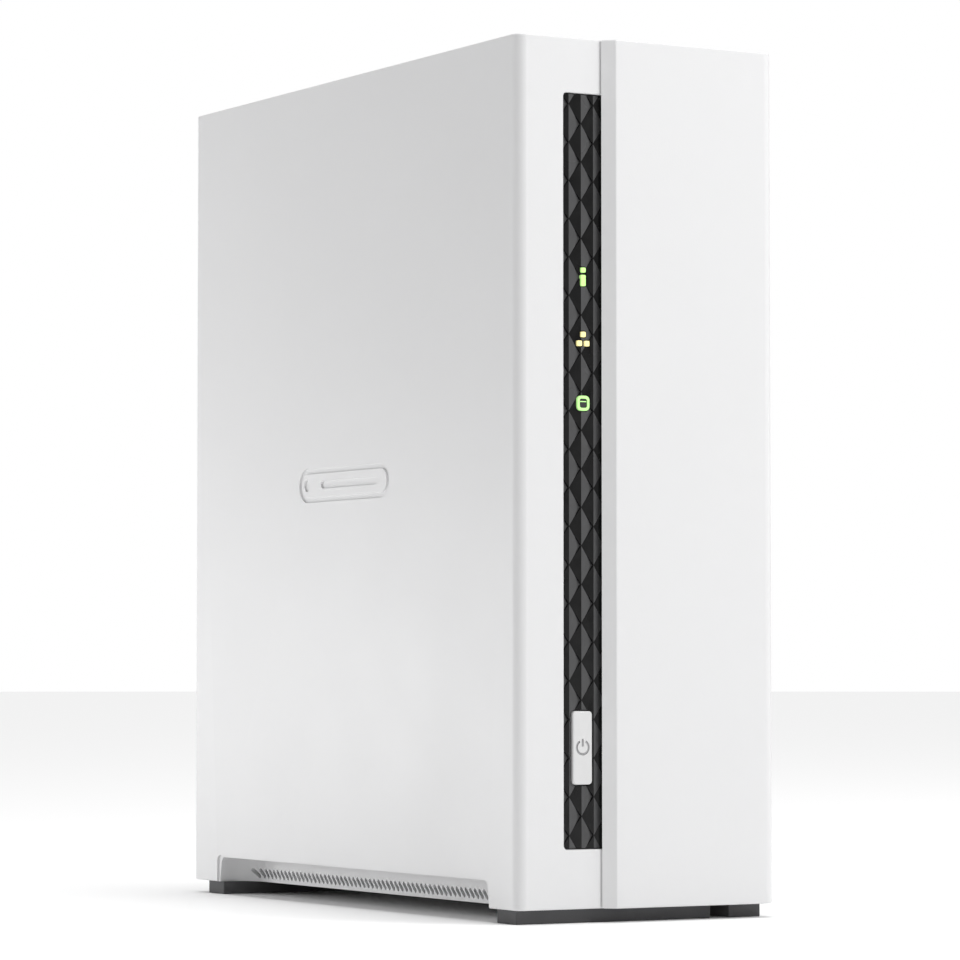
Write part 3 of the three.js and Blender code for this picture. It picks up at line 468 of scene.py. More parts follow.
def material(name, colour, roughness, grain=3000.0, bump=0.00002, edge=None, mottle=0.03, dust=0.05,
             **shader):
    """A finish built from the shared groups; shader sets values on the Principled sockets."""
    made = bpy.data.materials.new(name)
    made.use_nodes = True
    tree = made.node_tree
    edge = edge or tuple(min(1, c * 1.1 + 0.02) for c in colour)
    grained = node(tree, "ShaderNodeGroup", node_tree=GRAIN)
    feed(tree, grained, {"Scale": grain, "Roughness": roughness - 0.08, "Colour": (*colour, 1),
                         "Mottle": mottle})
    rubbed = node(tree, "ShaderNodeGroup", node_tree=WEAR)
    feed(tree, rubbed, {"Colour": grained.outputs["Colour"], "Edge": (*edge, 1), "Amount": 0.5})
    dusty = node(tree, "ShaderNodeGroup", node_tree=DUST)
    feed(tree, dusty, {"Colour": rubbed.outputs["Colour"], "Amount": dust})
    relief = node(tree, "ShaderNodeBump", Strength=0.6, Distance=bump, Height=grained.outputs["Height"])
    feed(tree, tree.nodes["Principled BSDF"], {
        "Base Color": dusty.outputs["Colour"], "Roughness": grained.outputs["Roughness"],
        "Normal": relief.outputs["Normal"], **shader})
    return made


SHELL = material("shell_plastic", (0.765, 0.765, 0.77), 0.46, grain=2600, bump=0.000025, mottle=0.012)
KEY_PLASTIC = material("key_plastic", (0.7, 0.7, 0.7), 0.36, grain=1800, bump=0.000006, mottle=0.01)
RUBBER = material("foot_rubber", (0.075, 0.075, 0.078), 0.72, grain=1600, bump=0.00006, mottle=0.25,
                  edge=(0.13, 0.13, 0.13))
BLACK = material("chip_plastic", (0.02, 0.02, 0.022), 0.5, grain=3200, edge=(0.06, 0.06, 0.06))
FAN_BLACK = material("fan_plastic", (0.022, 0.022, 0.024), 0.42, grain=1500, edge=(0.06, 0.06, 0.062))
IVORY = material("lamp_body", (0.82, 0.79, 0.68), 0.45, grain=2500, dust=0.1)
SCREW = material("screw_steel", (0.62, 0.62, 0.64), 0.24, grain=5000, bump=0.000004, Metallic=1.0)
TIN = material("socket_steel", (0.66, 0.66, 0.67), 0.3, grain=4000, bump=0.000004, mottle=0.12, Metallic=1.0)
SHEET = material("sheet_steel", (0.58, 0.59, 0.6), 0.34, grain=700, bump=0.000006, mottle=0.22, Metallic=1.0)
CAST = material("cast_metal", (0.44, 0.45, 0.47), 0.46, grain=1400, bump=0.00005, mottle=0.14, Metallic=0.9)
ANODISED = material("heat_sink_metal", (0.56, 0.58, 0.6), 0.36, grain=2200, bump=0.00001, Metallic=0.9)
CABLE = material("cable_sleeve", (0.03, 0.03, 0.032), 0.48, grain=1200, bump=0.00001)
GOLD = material("contact_gold", (0.83, 0.6, 0.24), 0.25, grain=4000, bump=0.000003, Metallic=1.0)


# ------------------------------------------------------------------ left shell

RIM = 0.4
CORNER_RADIUS = 2.4
INTAKE_DEPTH = 9.0
INTAKE_TOP = 8.9
INTAKE_WALL_X = LEFT + INTAKE_DEPTH
INTAKE_SKIN = 1.8
INTAKE_FRONT, INTAKE_BACK = -63.2, 65.6
INTAKE_DRAFT = 1.0
INTAKE_RADIUS = 1.5
INTAKE_REAR_CURVE, INTAKE_FRONT_CURVE = 7, 2
SLOT_PITCH = 2.0
SLOT_HEIGHT = 4.95
SLOT_SIZE = (0.95, 2.3, 1.5)
LIP = 0.45
POCKET_PITCH = 16.0
SLOT_FIRST = 61.85


def shell_plan():
    return rounded([(SPLIT_X - SEAM / 2, BACK, 0), (LEFT, BACK, 0.7), (LEFT, FRONT, CORNER_RADIUS),
                    (SPLIT_X - SEAM / 2, FRONT, 0)], 8)


def box_cut(bm, low, high):
    (x0, y0, z0), (x1, y1, z1) = low, high
    prism(bm, [(x0, y0), (x1, y0), (x1, y1), (x0, y1)], "Z", z0, z1)


def intake_ring(inset, draft):
    """The recess seen from above, open to the left, with round inner corners."""
    front = INTAKE_FRONT + inset + draft
    back = INTAKE_BACK - inset - draft
    outer = LEFT - 2
    mouth = LEFT
    flare = 0.5
    rear, near = INTAKE_REAR_CURVE, INTAKE_FRONT_CURVE
    return ([(outer, back + flare), (mouth, back + flare)]
            + [(mouth + flare * math.sin(t), back + flare * math.cos(t) ** 3)
               for t in (0.35, 0.8, 1.2, math.pi / 2)]
            + arc(INTAKE_WALL_X - rear, back - rear, rear, 90, 0, 10)
            + arc(INTAKE_WALL_X - near, front + near, near, 0, -90, 6)
            + [(mouth + flare * math.sin(t), front - flare * math.cos(t) ** 3)
               for t in (math.pi / 2, 1.2, 0.8, 0.35)]
            + [(mouth, front - flare), (outer, front - flare)])


def cut_intake(bm):
    rings = [(intake_ring(0, 0), BOTTOM - 1)]
    straight = INTAKE_TOP - INTAKE_RADIUS
    rings.append((intake_ring(0, INTAKE_DRAFT), straight))
    for i in range(1, 6):
        t = math.pi / 2 * i / 5
        inset = INTAKE_RADIUS * (1 - math.cos(t))
        rings.append((intake_ring(inset, INTAKE_DRAFT), straight + INTAKE_RADIUS * math.sin(t)))
    stack(bm, rings, "Z")


def cut_intake_lip(bm):
    """A shallow step round the mouth, which leaves a fine raised edge."""
    front, back = INTAKE_FRONT - LIP, INTAKE_BACK + LIP
    r = INTAKE_RADIUS
    outline = ([(back, BOTTOM - 1)] + arc(back - r, INTAKE_TOP + LIP - r, r, 0, 90)
               + arc(front + r, INTAKE_TOP + LIP - r, r, 90, 180) + [(front, BOTTOM - 1)])
    prism(bm, outline, "X", LEFT - 1, LEFT + LIP)


def cut_ceiling_pockets(bm):
    """Shallow round pockets along the recess's ceiling, between the mould's ejector ribs."""
    y = INTAKE_BACK - 12
    while y > INTAKE_FRONT + 8:
        lathe(bm, [(0, INTAKE_TOP - 0.6), (3.2, INTAKE_TOP - 0.6), (2.6, INTAKE_TOP + 0.9),
                   (0, INTAKE_TOP + 0.9)], "Z", (LEFT + 4.2, y), 28)
        y -= POCKET_PITCH


def cut_intake_slots(bm):
    """The row of leaning slots in the recess's wall; each is SLOT_SIZE wide, high and leaning."""
    count = int((SLOT_FIRST - INTAKE_FRONT - 4.5) / SLOT_PITCH) + 1
    for i in range(count):
        outline = lean_slot(SLOT_FIRST - i * SLOT_PITCH - 0.6, SLOT_HEIGHT, *SLOT_SIZE)
        prism(bm, outline, "X", INTAKE_WALL_X - 2.2, INTAKE_WALL_X + INTAKE_SKIN + 1.5)


def emblem_outlines():
    """A plain drive-slot sign: a pill outline, a lamp and a bar."""
    y, z, width, height, stroke = 2.3, 96.0, 43.0, 7.6, 1.1

    def pill(w, h, at):
        return round_box(at - w / 2, at + w / 2, z - h / 2, z + h / 2, h / 2 - 0.01, 10)
    return pill(width, height, y), pill(width - 2 * stroke, height - 2 * stroke, y), [
        pill(2.6, 2.6, y + width / 2 - height / 2), pill(width * 0.62, 1.5, y - width * 0.06)]


def build_left_shell():
    shell = new_object("left_shell_moulding", prism, shell_plan(), "Z", BOTTOM, TOP, RIM, 4)
    reach = SPLIT_X + 3
    cut(shell, box_cut, (LEFT + WALL, INNER_FRONT, BOTTOM + WALL), (reach, BACK + 2, TOP - WALL))
    join(shell, box_cut, (LEFT + 1, INTAKE_FRONT - 1.8, BOTTOM + 1),
         (INTAKE_WALL_X + INTAKE_SKIN, INTAKE_BACK + 1.8, INTAKE_TOP + 1.8))
    for hollow in (cut_intake, cut_intake_lip, cut_ceiling_pockets, cut_intake_slots):
        cut(shell, hollow)
    x0, x1, z0, z1 = WINDOW
    cut(shell, cutter, round_box(x0, x1, z0, z1, 0.9), "Y", FRONT - 1, INNER_FRONT + 1, FRONT, 0.25)
    ring, island, marks = emblem_outlines()
    deep = LEFT + 0.45
    cut(shell, cutter, ring, "X", LEFT - 1, deep, LEFT, 0.1)
    join(shell, prism, island, "X", LEFT + 0.02, LEFT + 1.0, 0, low_edge=0.1)
    cut(shell, lambda b: [cutter(b, o, "X", LEFT - 1, deep, LEFT, 0.1) for o in marks])
    return finish_piece(shell, SHELL, "housing", ["left_shell"])


# ------------------------------------------------------------------ back wall, rails and posts

FAN_SCREWS = ["fan_screw_" + n for n in ("lower_left", "lower_right", "upper_left", "upper_right")]
COVER_SCREWS = ["cover_screw_lower", "cover_screw_upper"]
BOARD_SCREWS = ["board_screw_lower", "board_screw_upper"]
BRACKET_SCREWS = ["bracket_screw_lower", "bracket_screw_upper", "bracket_screw_rear"]
INDICATOR_SCREWS = ["indicator_screw_lower", "indicator_screw_upper"]
SCREW_HOLE = 1.8
PINHOLE = 0.9
LOCK_SLOT = (8.5, 15.5, 12.5, 15.5)


def sockets():
    """Each socket's opening in the back wall, from the socket nodes."""
    for name in ("network_socket", "usb_socket_upper", "usb_socket_lower", "power_socket"):
        low, high = span(name)
        yield low.x - SEAM, high.x + SEAM, low.z - SEAM, high.z + SEAM


def grille_slots():
    """The fan grille: rows of leaning slots that fill a round outline."""
    width, height, lean = 2.1, 6.2, 2.0
    reach = 22.8
    for row in range(-2, 3):
        for i in range(-7, 8):
            dx = (i + (0.5 if row % 2 else 0)) * 3.6
            dz = row * (height + 1.4)
            if math.hypot(abs(dx) + (width + lean) / 2, abs(dz) + height / 2) < reach:
                yield lean_slot(FAN_X + dx, FAN_Z + dz, width, height, lean, 5)


def back_wall_cuts(bm):
    """The openings in the back wall: sockets, grille, screw holes, reset pinhole and lock slot."""
    def through(outline, flare, steps=2):
        cutter(bm, outline, "Y", INNER_REAR - 1, REAR_FACE + 1, REAR_FACE, flare, steps)
    for x0, x1, z0, z1 in sockets():
        through(round_box(x0, x1, z0, z1, 0.5, 3), 0.3, 3)
    for outline in grille_slots():
        through(outline, 0.25)
    for name in FAN_SCREWS + COVER_SCREWS:
        spot = middle(name)
        through(circle(spot.x, spot.z, SCREW_HOLE, 20), 0.2)
    pin = middle("reset_plunger")
    through(circle(pin.x, pin.z, PINHOLE, 20), 0.25)
    through(round_box(*LOCK_SLOT, 0.7, 4), 0.3, 3)


def build_back_wall():
    outline = round_box(LEFT + WALL - 0.15, RIGHT - WALL - SEAM, BOTTOM + WALL + 0.2, TOP - WALL - 0.2, 0.4)
    wall = new_object("shell_back_wall", prism, outline, "Y", INNER_REAR, REAR_FACE, 0.2)
    cut(wall, back_wall_cuts)
    return finish_piece(wall, SHELL, "housing")


RAIL_THICK, RAIL_HOOK = 1.8, 1.9


def build_shell_inside(bm):
    """Rails, front flange, posts and standoffs, moulded with the left shell."""
    slab(bm, (SPLIT_X - 1.5, FRONT + 0.05, BOTTOM + WALL + SEAM), (21.9, INNER_FRONT, TOP - WALL - SEAM), 0.2)
    for side, wall in ((1, TOP - WALL), (-1, BOTTOM + WALL)):
        under = wall - side * SEAM
        low = under - side * RAIL_THICK
        tip = low - side * RAIL_HOOK
        near, far = sorted((low, under))
        slab(bm, (15.3, INNER_FRONT - 0.4, near), (25.3, INNER_REAR + 0.3, far), 0.2)
        slab(bm, (15.33, INNER_FRONT - 0.37, min(far, wall) - 0.4),
             (SPLIT_X - SEAM, INNER_REAR + 0.27, max(far, wall) + 0.3), 0.1)
        near, far = sorted((tip, low + side * 0.4))
        slab(bm, (24.1, INNER_FRONT - 0.2, near), (25.27, INNER_REAR + 0.24, far), 0.2)
    for name in BOARD_SCREWS:
        spot = middle(name)
        prism(bm, circle(spot.y, spot.z, 3.0), "X", LEFT + WALL - 0.3, BOARD_BACK - 0.02, 0.2)
    for name in BRACKET_SCREWS:
        spot = middle(name)
        prism(bm, circle(spot.y, spot.z, 3.4), "X", LEFT + WALL - 0.3, span("drive_bracket")[0].x - 0.02,
              0.25)
        for turn in range(4):
            along = Vector((math.cos(turn * math.pi / 2), math.sin(turn * math.pi / 2)))
            start = Vector((spot.y, spot.z)) + along * 3
            end = start + along * 3.2
            y0, y1 = sorted((start.x, end.x))
            z0, z1 = sorted((start.y, end.y))
            slab(bm, (LEFT + WALL - 0.3, y0 - 0.5, z0 - 0.5), (LEFT + WALL + 16, y1 + 0.5, z1 + 0.5), 0.2)
    for name in INDICATOR_SCREWS:
        spot = middle(name)
        prism(bm, circle(spot.x, spot.z, 2.6), "Y", INNER_FRONT - 0.3, INDICATOR_FACE - 0.02, 0.2)


# ------------------------------------------------------------------ right cover

COVER_RADIUS = 3.0
CREST_X = PANEL_FOOT_X + 2.8


def cover_plan():
    """The cover seen from above: its front panel reaches over the left shell's front, down to a bevel."""
    seam_x = SPLIT_X + SEAM / 2
    near = FRONT - SEAM / 2
    return rounded([(seam_x, near, 0), (PANEL_FOOT_X, near, 0), (CREST_X, PANEL_FACE, 0.6),
                    (RIGHT, PANEL_FACE, COVER_RADIUS), (RIGHT, BACK, 0.7), (seam_x, BACK, 0)], 8)


def cut_cover_groove(bm):
    """A fine shadow groove up the foot of the bevel."""
    x, y = PANEL_FOOT_X, FRONT - SEAM / 2
    prism(bm, [(x - 1, y - 0.24), (x + 0.62, y - 0.24), (x + 0.62, y + 0.5), (x - 1, y + 0.5)], "Z",
          BOTTOM - 1, TOP + 1)


def build_cover():
    cover = new_object("right_cover_moulding", prism, cover_plan(), "Z", BOTTOM, TOP, RIM, 4)
    near = FRONT - SEAM / 2
    cut(cover, box_cut, (SPLIT_X - 2, near, BOTTOM + WALL), (RIGHT - WALL, BACK + 2, TOP - WALL))
    cut(cover, cut_cover_groove)
    return finish_piece(cover, SHELL, "cover", ["right_cover"])


def build_cover_inside(bm):
    """Rails and screw tabs, moulded with the cover."""
    near_y = FRONT - SEAM / 2 - 0.4
    tab_end = INNER_REAR - 0.4
    for side, wall in ((1, TOP - WALL), (-1, BOTTOM + WALL)):
        near = wall - side * (SEAM + RAIL_THICK + RAIL_HOOK + SEAM)
        z0, z1 = sorted((near, near - side * 1.5))
        slab(bm, (22.3, near_y, z0), (RIGHT - WALL + 0.4, tab_end, z1), 0.2)
        z0, z1 = sorted((near - side * 0.4, near + side * 1.8))
        slab(bm, (22.32, near_y + 0.03, z0), (23.7, tab_end - 0.03, z1), 0.2)
    for name in COVER_SCREWS:
        spot = middle(name)
        outer = round_box(24.1, RIGHT - WALL + 0.4, spot.z - 4, spot.z + 4, 0.6)
        prism(bm, outer, "Y", 70.5, tab_end, 0.25)
    for z in range(26, 176, 30):
        slab(bm, (RIGHT - WALL - 0.9, near_y, z - 0.5), (RIGHT - WALL + 0.3, tab_end, z + 0.5), 0.15)


build_left_shell()
build_back_wall()
make("shell_rails_and_posts", build_shell_inside, SHELL, "housing")
build_cover()
make("cover_rails_and_tabs", build_cover_inside, SHELL, "cover")


# ------------------------------------------------------------------ feet

def build_foot(node_name):
    low, high = span(node_name)

    def grip_grooves(bm):
        for y in (low.y + 2.2, low.y + 4.1, low.y + 6.0):
            slab(bm, (low.x + 1, y - 0.4, low.z - 1), (high.x - 1, y + 0.4, low.z + 0.6), 0.2)

    outline = round_box(low.x, high.x, low.y, high.y, 0.35, 4)
    foot = new_object(node_name + "_pad", prism, outline, "Z", low.z, high.z - 0.02, 0, low_edge=0.2)
    cut(foot, grip_grooves)
    return foot


for foot, body in (("front_foot_long", "housing"), ("rear_foot_long", "housing"),
                   ("front_foot_short", "cover"), ("rear_foot_short", "cover")):
    finish_piece(build_foot(foot), RUBBER, body, [foot])


# ------------------------------------------------------------------ front window

LATTICE_STEP = 3.05
LATTICE_HALF = 4.1
GROOVE = 0.04
RIDGE = FRONT + 0.3
EAVES = FRONT + 0.88
LATTICE_TOP = 170.2


def painted_facet_shading():
    """A painted shade and a painted highlight for the two slopes of a ridge, told apart by which way they
    face: the slopes facing left get the painted shade, those facing right the painted highlight.
    """
    tree, inside, outside = group(
        "painted_facet_shading",
        [("Dark", "NodeSocketColor", (0.01, 0.01, 0.01, 1)),
         ("Light", "NodeSocketColor", (0.07, 0.07, 0.07, 1))],
        [("Colour", "NodeSocketColor")])
    facing = node(tree, "ShaderNodeTexCoord").outputs["Normal"]
    side = rise(tree, node(tree, "ShaderNodeSeparateXYZ", Vector=facing).outputs["X"], -0.05, 0.12)
    feed(tree, outside, {"Colour": blend(tree, side, inside.outputs["Dark"], inside.outputs["Light"])})
    return tree


def shared_group(tree, group_tree):
    """The node that places a shared group in a material."""
    return next(n for n in tree.nodes if n.type == "GROUP" and n.node_tree == group_tree)


def window_material():
    made = material("window_plastic", (0.012, 0.012, 0.013), 0.26, grain=1500, bump=0.000003, mottle=0.0,
                    edge=(0.03, 0.03, 0.03), dust=0.0, Specular_IOR_Level=0.24)
    tree = made.node_tree
    # Painted shading: the lattice's left-facing slopes get a painted shade, its right-facing slopes a painted
    # highlight.
    tone = node(tree, "ShaderNodeGroup", node_tree=painted_facet_shading())
    feed(tree, tone, {"Dark": (0.0015, 0.0015, 0.0017, 1), "Light": (0.078, 0.078, 0.08, 1)})
    feed(tree, shared_group(tree, GRAIN), {"Colour": tone.outputs["Colour"]})
    return made


WINDOW_BLACK = window_material()


def lattice_tile(bm, x, z):
    """One diamond: a low roof whose ridge runs up its middle."""
    w, h = LATTICE_STEP - GROOVE * 1.25, LATTICE_HALF - GROOVE * 1.7
    base = WINDOW_FLOOR + 0.1
    spots = {"left": (x - w, z), "top": (x, z + h), "right": (x + w, z), "bottom": (x, z - h)}
    low = {k: bm.verts.new(Vector((a, base, b)) * MM) for k, (a, b) in spots.items()}
    up = {k: bm.verts.new(Vector((a, RIDGE if k in ("top", "bottom") else EAVES, b)) * MM)
          for k, (a, b) in spots.items()}
    turn = ["left", "top", "right", "bottom"]
    faces = [bm.faces.new([up["left"], up["top"], up["bottom"]]),
             bm.faces.new([up["right"], up["bottom"], up["top"]]), bm.faces.new([low[k] for k in turn])]
    for one, two in zip(turn, turn[1:] + turn[:1]):
        faces.append(bm.faces.new([low[one], low[two], up[two], up[one]]))
    bmesh.ops.recalc_face_normals(bm, faces=faces)


def lattice_tiles(bm):
    """Columns of diamonds, every other one half a diamond lower."""
    for column in range(-2, 4):
        for row in range(-1, 21):
            z = LATTICE_TOP + LATTICE_HALF * (3 if column % 2 == 0 else 2) - row * 2 * LATTICE_HALF
            lattice_tile(bm, KEY_X + column * LATTICE_STEP, z)


def build_lattice():
    x0, x1, z0, z1 = WINDOW
    lattice = new_object("front_window_lattice", lattice_tiles)
    outline = round_box(x0 + 0.2, x1 - 0.2, z0 + 0.25, z1 - 0.25, 0.7)
    room = new_object("window_room", prism, outline, "Y", RIDGE - 1, WINDOW_FLOOR + 0.05)
    combine(lattice, "INTERSECT", room)
    key_room = round_box(key_low.x + 0.85, key_high.x - 0.85, key_low.z + 0.85, key_high.z - 0.85, 1.1)
    for outline in [key_room] + [grown(o, SYMBOL_ROOM) for outlines, _ in SYMBOLS.values() for o in outlines]:
        cut(lattice, prism, outline, "Y", RIDGE - 1, WINDOW_FLOOR + 1)
    return finish_piece(lattice, WINDOW_BLACK, "housing", angle=8)


def build_window_plate():
    x0, x1, z0, z1 = WINDOW
    pane = round_box(x0 + 0.08, x1 - 0.08, z0 + 0.08, z1 - 0.08, 0.85)
    plate = new_object("front_window_plate", prism, pane, "Y", WINDOW_FLOOR, INNER_FRONT + 0.3)
    flange = round_box(x0 - FLANGE_SIDE, x1 + FLANGE_SIDE, z0 - FLANGE_END, z1 + FLANGE_END, 1.5)
    join(plate, prism, flange, "Y", INNER_FRONT, INNER_FRONT + 1.2, 0.15)
    key_hole = round_box(key_low.x + 0.9, key_high.x - 0.9, key_low.z + 0.9, key_high.z - 0.9, 0.9)
    cut(plate, prism, key_hole, "Y", FRONT, INNER_FRONT + 3)
    return finish_piece(plate, WINDOW_BLACK, "housing", ["front_window"])


# ------------------------------------------------------------------ lit symbols and the power key

ICON_X = middle("disk_light_pipe").x
ICON_FACE = FRONT + 0.28
SYMBOL_ROOM = 0.22
KEY_SKIRT = 1.1


def symbol_outlines():
    """Each light pipe's lit outlines, and the dark inlay that lies in them."""
    z_status, z_net, z_disk = (middle(n + "_light_pipe").z for n in ("status", "network", "disk"))
    x = ICON_X
    status = [round_box(x - 0.6, x + 0.6, z_status + 0.95, z_status + 2.0, 0.25),
              round_box(x - 0.6, x + 0.6, z_status - 1.95, z_status + 0.45, 0.25)]
    network = [round_box(x + dx - 0.6, x + dx + 0.6, z_net + dz - 0.58, z_net + dz + 0.58, 0.25)
               for dx, dz in ((0, 1.0), (-0.92, -0.92), (0.92, -0.92))]
    disk = [round_box(x - 1.5, x + 1.5, z_disk - 1.6, z_disk + 1.6, 0.95)]
    return {"status": (status, None), "network": (network, None),
            "disk": (disk, round_box(x - 0.95, x + 0.95, z_disk - 1.0, z_disk + 1.0, 0.45))}


SYMBOLS = symbol_outlines()


def lit_plastic(name, colour, glow=0.6):
    return material(name, colour, 0.3, grain=2000, bump=0.000004, dust=0.0, mottle=0.01,
                    Emission_Color=(*colour, 1), Emission_Strength=glow)


LIT = {"status": lit_plastic("light_pipe_green", (0.5, 0.86, 0.26)),
       "network": lit_plastic("light_pipe_amber", (0.9, 0.8, 0.36)),
       "disk": lit_plastic("light_pipe_pale_green", (0.45, 0.82, 0.28))}


def build_light_pipe(name):
    outlines, inlay = SYMBOLS[name]
    low, high = span(name + "_light_pipe")
    z = halfway(low, high)[2]
    collar = INNER_FRONT + 1.2

    def pipe_blocks(bm):
        for outline in outlines:
            prism(bm, outline, "Y", ICON_FACE, collar + 0.2, 0, low_edge=0.08)
        slab(bm, (ICON_X - 2.8, collar + 0.02, z - 2.8), (ICON_X + 2.8, collar + 1, z + 2.8), 0.2)
        slab(bm, (ICON_X - 1.4, collar + 0.9, z - 1.4), (ICON_X + 1.4, high.y, z + 1.4), 0.15)
    pipe = new_object(name + "_symbol_pipe", pipe_blocks)
    if inlay:
        cut(pipe, prism, inlay, "Y", ICON_FACE - 1, ICON_FACE + 0.5)
    finish_piece(pipe, LIT[name], "housing", [name + "_light_pipe"])
    if inlay:
        def drum(b):
            prism(b, grown(inlay, -0.02), "Y", ICON_FACE + 0.2, ICON_FACE + 0.55)
        make("disk_symbol_inlay", drum, BLACK, "housing")
        make("disk_symbol_line", lambda b: slab(b, (ICON_X - 0.75, ICON_FACE + 0.1, z + 0.25),
                                                (ICON_X + 0.75, ICON_FACE + 0.4, z + 0.45), 0.04),
             LIT[name], "housing")


def power_sign(x, z):
    """A ring with a gap at its top, and a short bar in the gap."""
    ring = arc(x, z, 1.66, 90 + 32, 450 - 32, 24) + arc(x, z, 1.26, 450 - 32, 90 + 32, 24)
    bar = round_box(x - 0.2, x + 0.2, z + 0.2, z + 1.8, 0.19, 3)
    return ring, bar


def build_power_key():
    stop = window_high.y + 0.2
    cap = round_box(key_low.x + KEY_SKIRT, key_high.x - KEY_SKIRT, key_low.z + KEY_SKIRT,
                    key_high.z - KEY_SKIRT, 0.8)

    def engraving(bm):
        for outline in power_sign(KEY_X, KEY_Z + 0.1):
            cutter(bm, outline, "Y", key_low.y - 1, key_low.y + 0.35, key_low.y, 0.05)

    def cap_skirt_and_stem(bm):
        prism(bm, cap, "Y", key_low.y, stop + 0.2, 0, 4, low_edge=0.32)
        slab(bm, (key_low.x, stop, key_low.z), (key_high.x, stop + 1, key_high.z), 0.2)
        prism(bm, circle(KEY_X, KEY_Z, 1.4, 20), "Y", stop + 0.9, key_high.y, 0.1)
    key = new_object("power_button_cap", cap_skirt_and_stem)
    cut(key, engraving)
    finish_piece(key, KEY_PLASTIC, "power_key", ["power_button"])

    def paint(b):
        for outline in power_sign(KEY_X, KEY_Z + 0.1):
            prism(b, grown(outline, -0.03), "Y", key_low.y + 0.2, key_low.y + 0.34)
    make("power_button_sign", paint, SIGN_GREY, "power_key")


SIGN_GREY = material("sign_grey", (0.4, 0.4, 0.41), 0.5, grain=2500)
build_window_plate()
build_lattice()
for symbol in SYMBOLS:
    build_light_pipe(symbol)
build_power_key()


# ------------------------------------------------------------------ screws

def screw_mesh(head, head_height, shank, length, sides=28):
    """A pan-head screw along +Z with a cross recess and a thread of rings; its head stands on the origin."""
    profile = [(0, -length), (shank * 0.55, -length), (shank * 0.8, -length + 0.35)]
    height = -length + 0.5
    while height < -0.7:
        profile += [(shank * 0.82, height), (shank, height + 0.18), (shank * 0.82, height + 0.36)]
        height += 0.5
    profile += [(shank * 0.85, -0.2), (shank * 0.85, 0), (head * 0.94, 0), (head, head_height * 0.12),
                (head, head_height * 0.45), (head * 0.93, head_height * 0.72),
                (head * 0.75, head_height * 0.92), (head * 0.45, head_height), (0, head_height)]
    obj = new_object("screw_pattern", lathe, profile, "Z", (0, 0), sides)
    arm, width = head * 0.55, head * 0.13

    def recess(b):
        cross = [(width, width), (width, arm), (-width, arm), (-width, width), (-arm, width),
                 (-arm, -width), (-width, -width), (-width, -arm), (width, -arm), (width, -width),
                 (arm, -width), (arm, width)]
        stack(b, [([(x * 0.45, y * 0.45) for x, y in cross], head_height * 0.25),
                  (cross, head_height), (cross, head_height + 1)], "Z")
    cut(obj, recess)
    mesh = obj.data.copy()
    bpy.data.objects.remove(obj)
    return mesh


def set_screws(names, toward, sizes, body="housing"):
    """Puts a screw in each node's place, its head towards the given direction."""
    pattern = screw_mesh(*sizes)
    toward = Vector(toward)
    turn = toward.to_track_quat("Z", "Y").to_matrix().to_4x4()
    for i, name in enumerate(names):
        low, high = span(name)
        head = Vector([high[k] if toward[k] > 0.5 else low[k] if toward[k] < -0.5 else (low[k] + high[k]) / 2
                       for k in range(3)])
        spin = Matrix.Rotation(0.4 + 0.7 * i, 4, "Z")
        screw = turned_copy(name + "_turned", pattern, head - toward * sizes[1], turn @ spin)
        finish_piece(screw, SCREW, body, [name])


BACKWARDS, FORWARDS, RIGHTWARDS = (0, 1, 0), (0, -1, 0), (1, 0, 0)
COVER_SCREW = (3.2, 1.6, 1.5, 6.8)
DRIVE_SCREW = (3.1, 1.7, 1.6, 4.6)
set_screws(FAN_SCREWS, BACKWARDS, (3.0, 1.6, 1.5, 9.0))
set_screws(COVER_SCREWS[:1], BACKWARDS, COVER_SCREW, "lower_cover_screw")
set_screws(COVER_SCREWS[1:], BACKWARDS, COVER_SCREW, "upper_cover_screw")
set_screws(INDICATOR_SCREWS, BACKWARDS, (2.6, 1.6, 1.25, 5.0))
set_screws(BOARD_SCREWS, RIGHTWARDS, (2.6, 1.6, 1.25, 3.6))
set_screws(BRACKET_SCREWS, RIGHTWARDS, (2.6, 1.6, 1.25, 5.0))
set_screws(["drive_screw_rear_lower", "drive_screw_rear_upper"], BACKWARDS, DRIVE_SCREW)
set_screws(["drive_screw_front_lower", "drive_screw_front_upper"], FORWARDS, DRIVE_SCREW)


# ------------------------------------------------------------------ sockets in the back

def socket_shell(name, hollows, shell_finish, pieces):
    """A socket block with its hollows cut; pieces adds what stands inside it."""
    low, high = span(name)
    shell = new_object(name + "_shell", slab, low, high, 0.3, "Y")
    cut(shell, hollows, low, high)
    finish_piece(shell, shell_finish, "housing", [name])
    for label, build, finish, its_slot in pieces:
        make(f"{name}_{label}", build, finish, "housing")


def network_hollow(bm, low, high):
    x = low.x + 3
    z = halfway(low, high)[2]
    outline = [(x, z - 5.9), (x + 6.8, z - 5.9), (x + 6.8, z - 3), (x + 8.6, z - 3), (x + 8.6, z + 3),
               (x + 6.8, z + 3), (x + 6.8, z + 5.9), (x, z + 5.9)]
    cutter(bm, outline, "Y", high.y - 13, high.y + 1, high.y, 0.2)


def network_pins(bm):
    low, high = span("network_socket")
    z = halfway(low, high)[2]
    for i in range(8):
        at = z + (i - 3.5) * 1.02
        path = [(low.x + 3.1, high.y - 12.9, at), (low.x + 5.6, high.y - 12.3, at),
                (low.x + 5.7, high.y - 11.5, at), (low.x + 3.3, high.y - 3.2, at),
                (low.x + 2.95, high.y - 2.6, at)]
        tube(bm, smooth_path(path, 3), 0.2, 8)


def network_lamps(bm):
    low, high = span("network_socket")
    for z in (low.z + 2.4, high.z - 2.4):
        slab(bm, (high.x - 3.2, high.y - 0.3, z - 1.1), (high.x - 1.0, high.y + 0.04, z + 1.1), 0.12, "Y")


def usb_hollow(bm, low, high):
    z = halfway(low, high)[2]
    outline = round_box(low.x + 0.6, high.x - 0.5, z - 6.5, z + 6.5, 0.3, 3)
    cutter(bm, outline, "Y", high.y - 13, high.y + 1, high.y, 0.25)


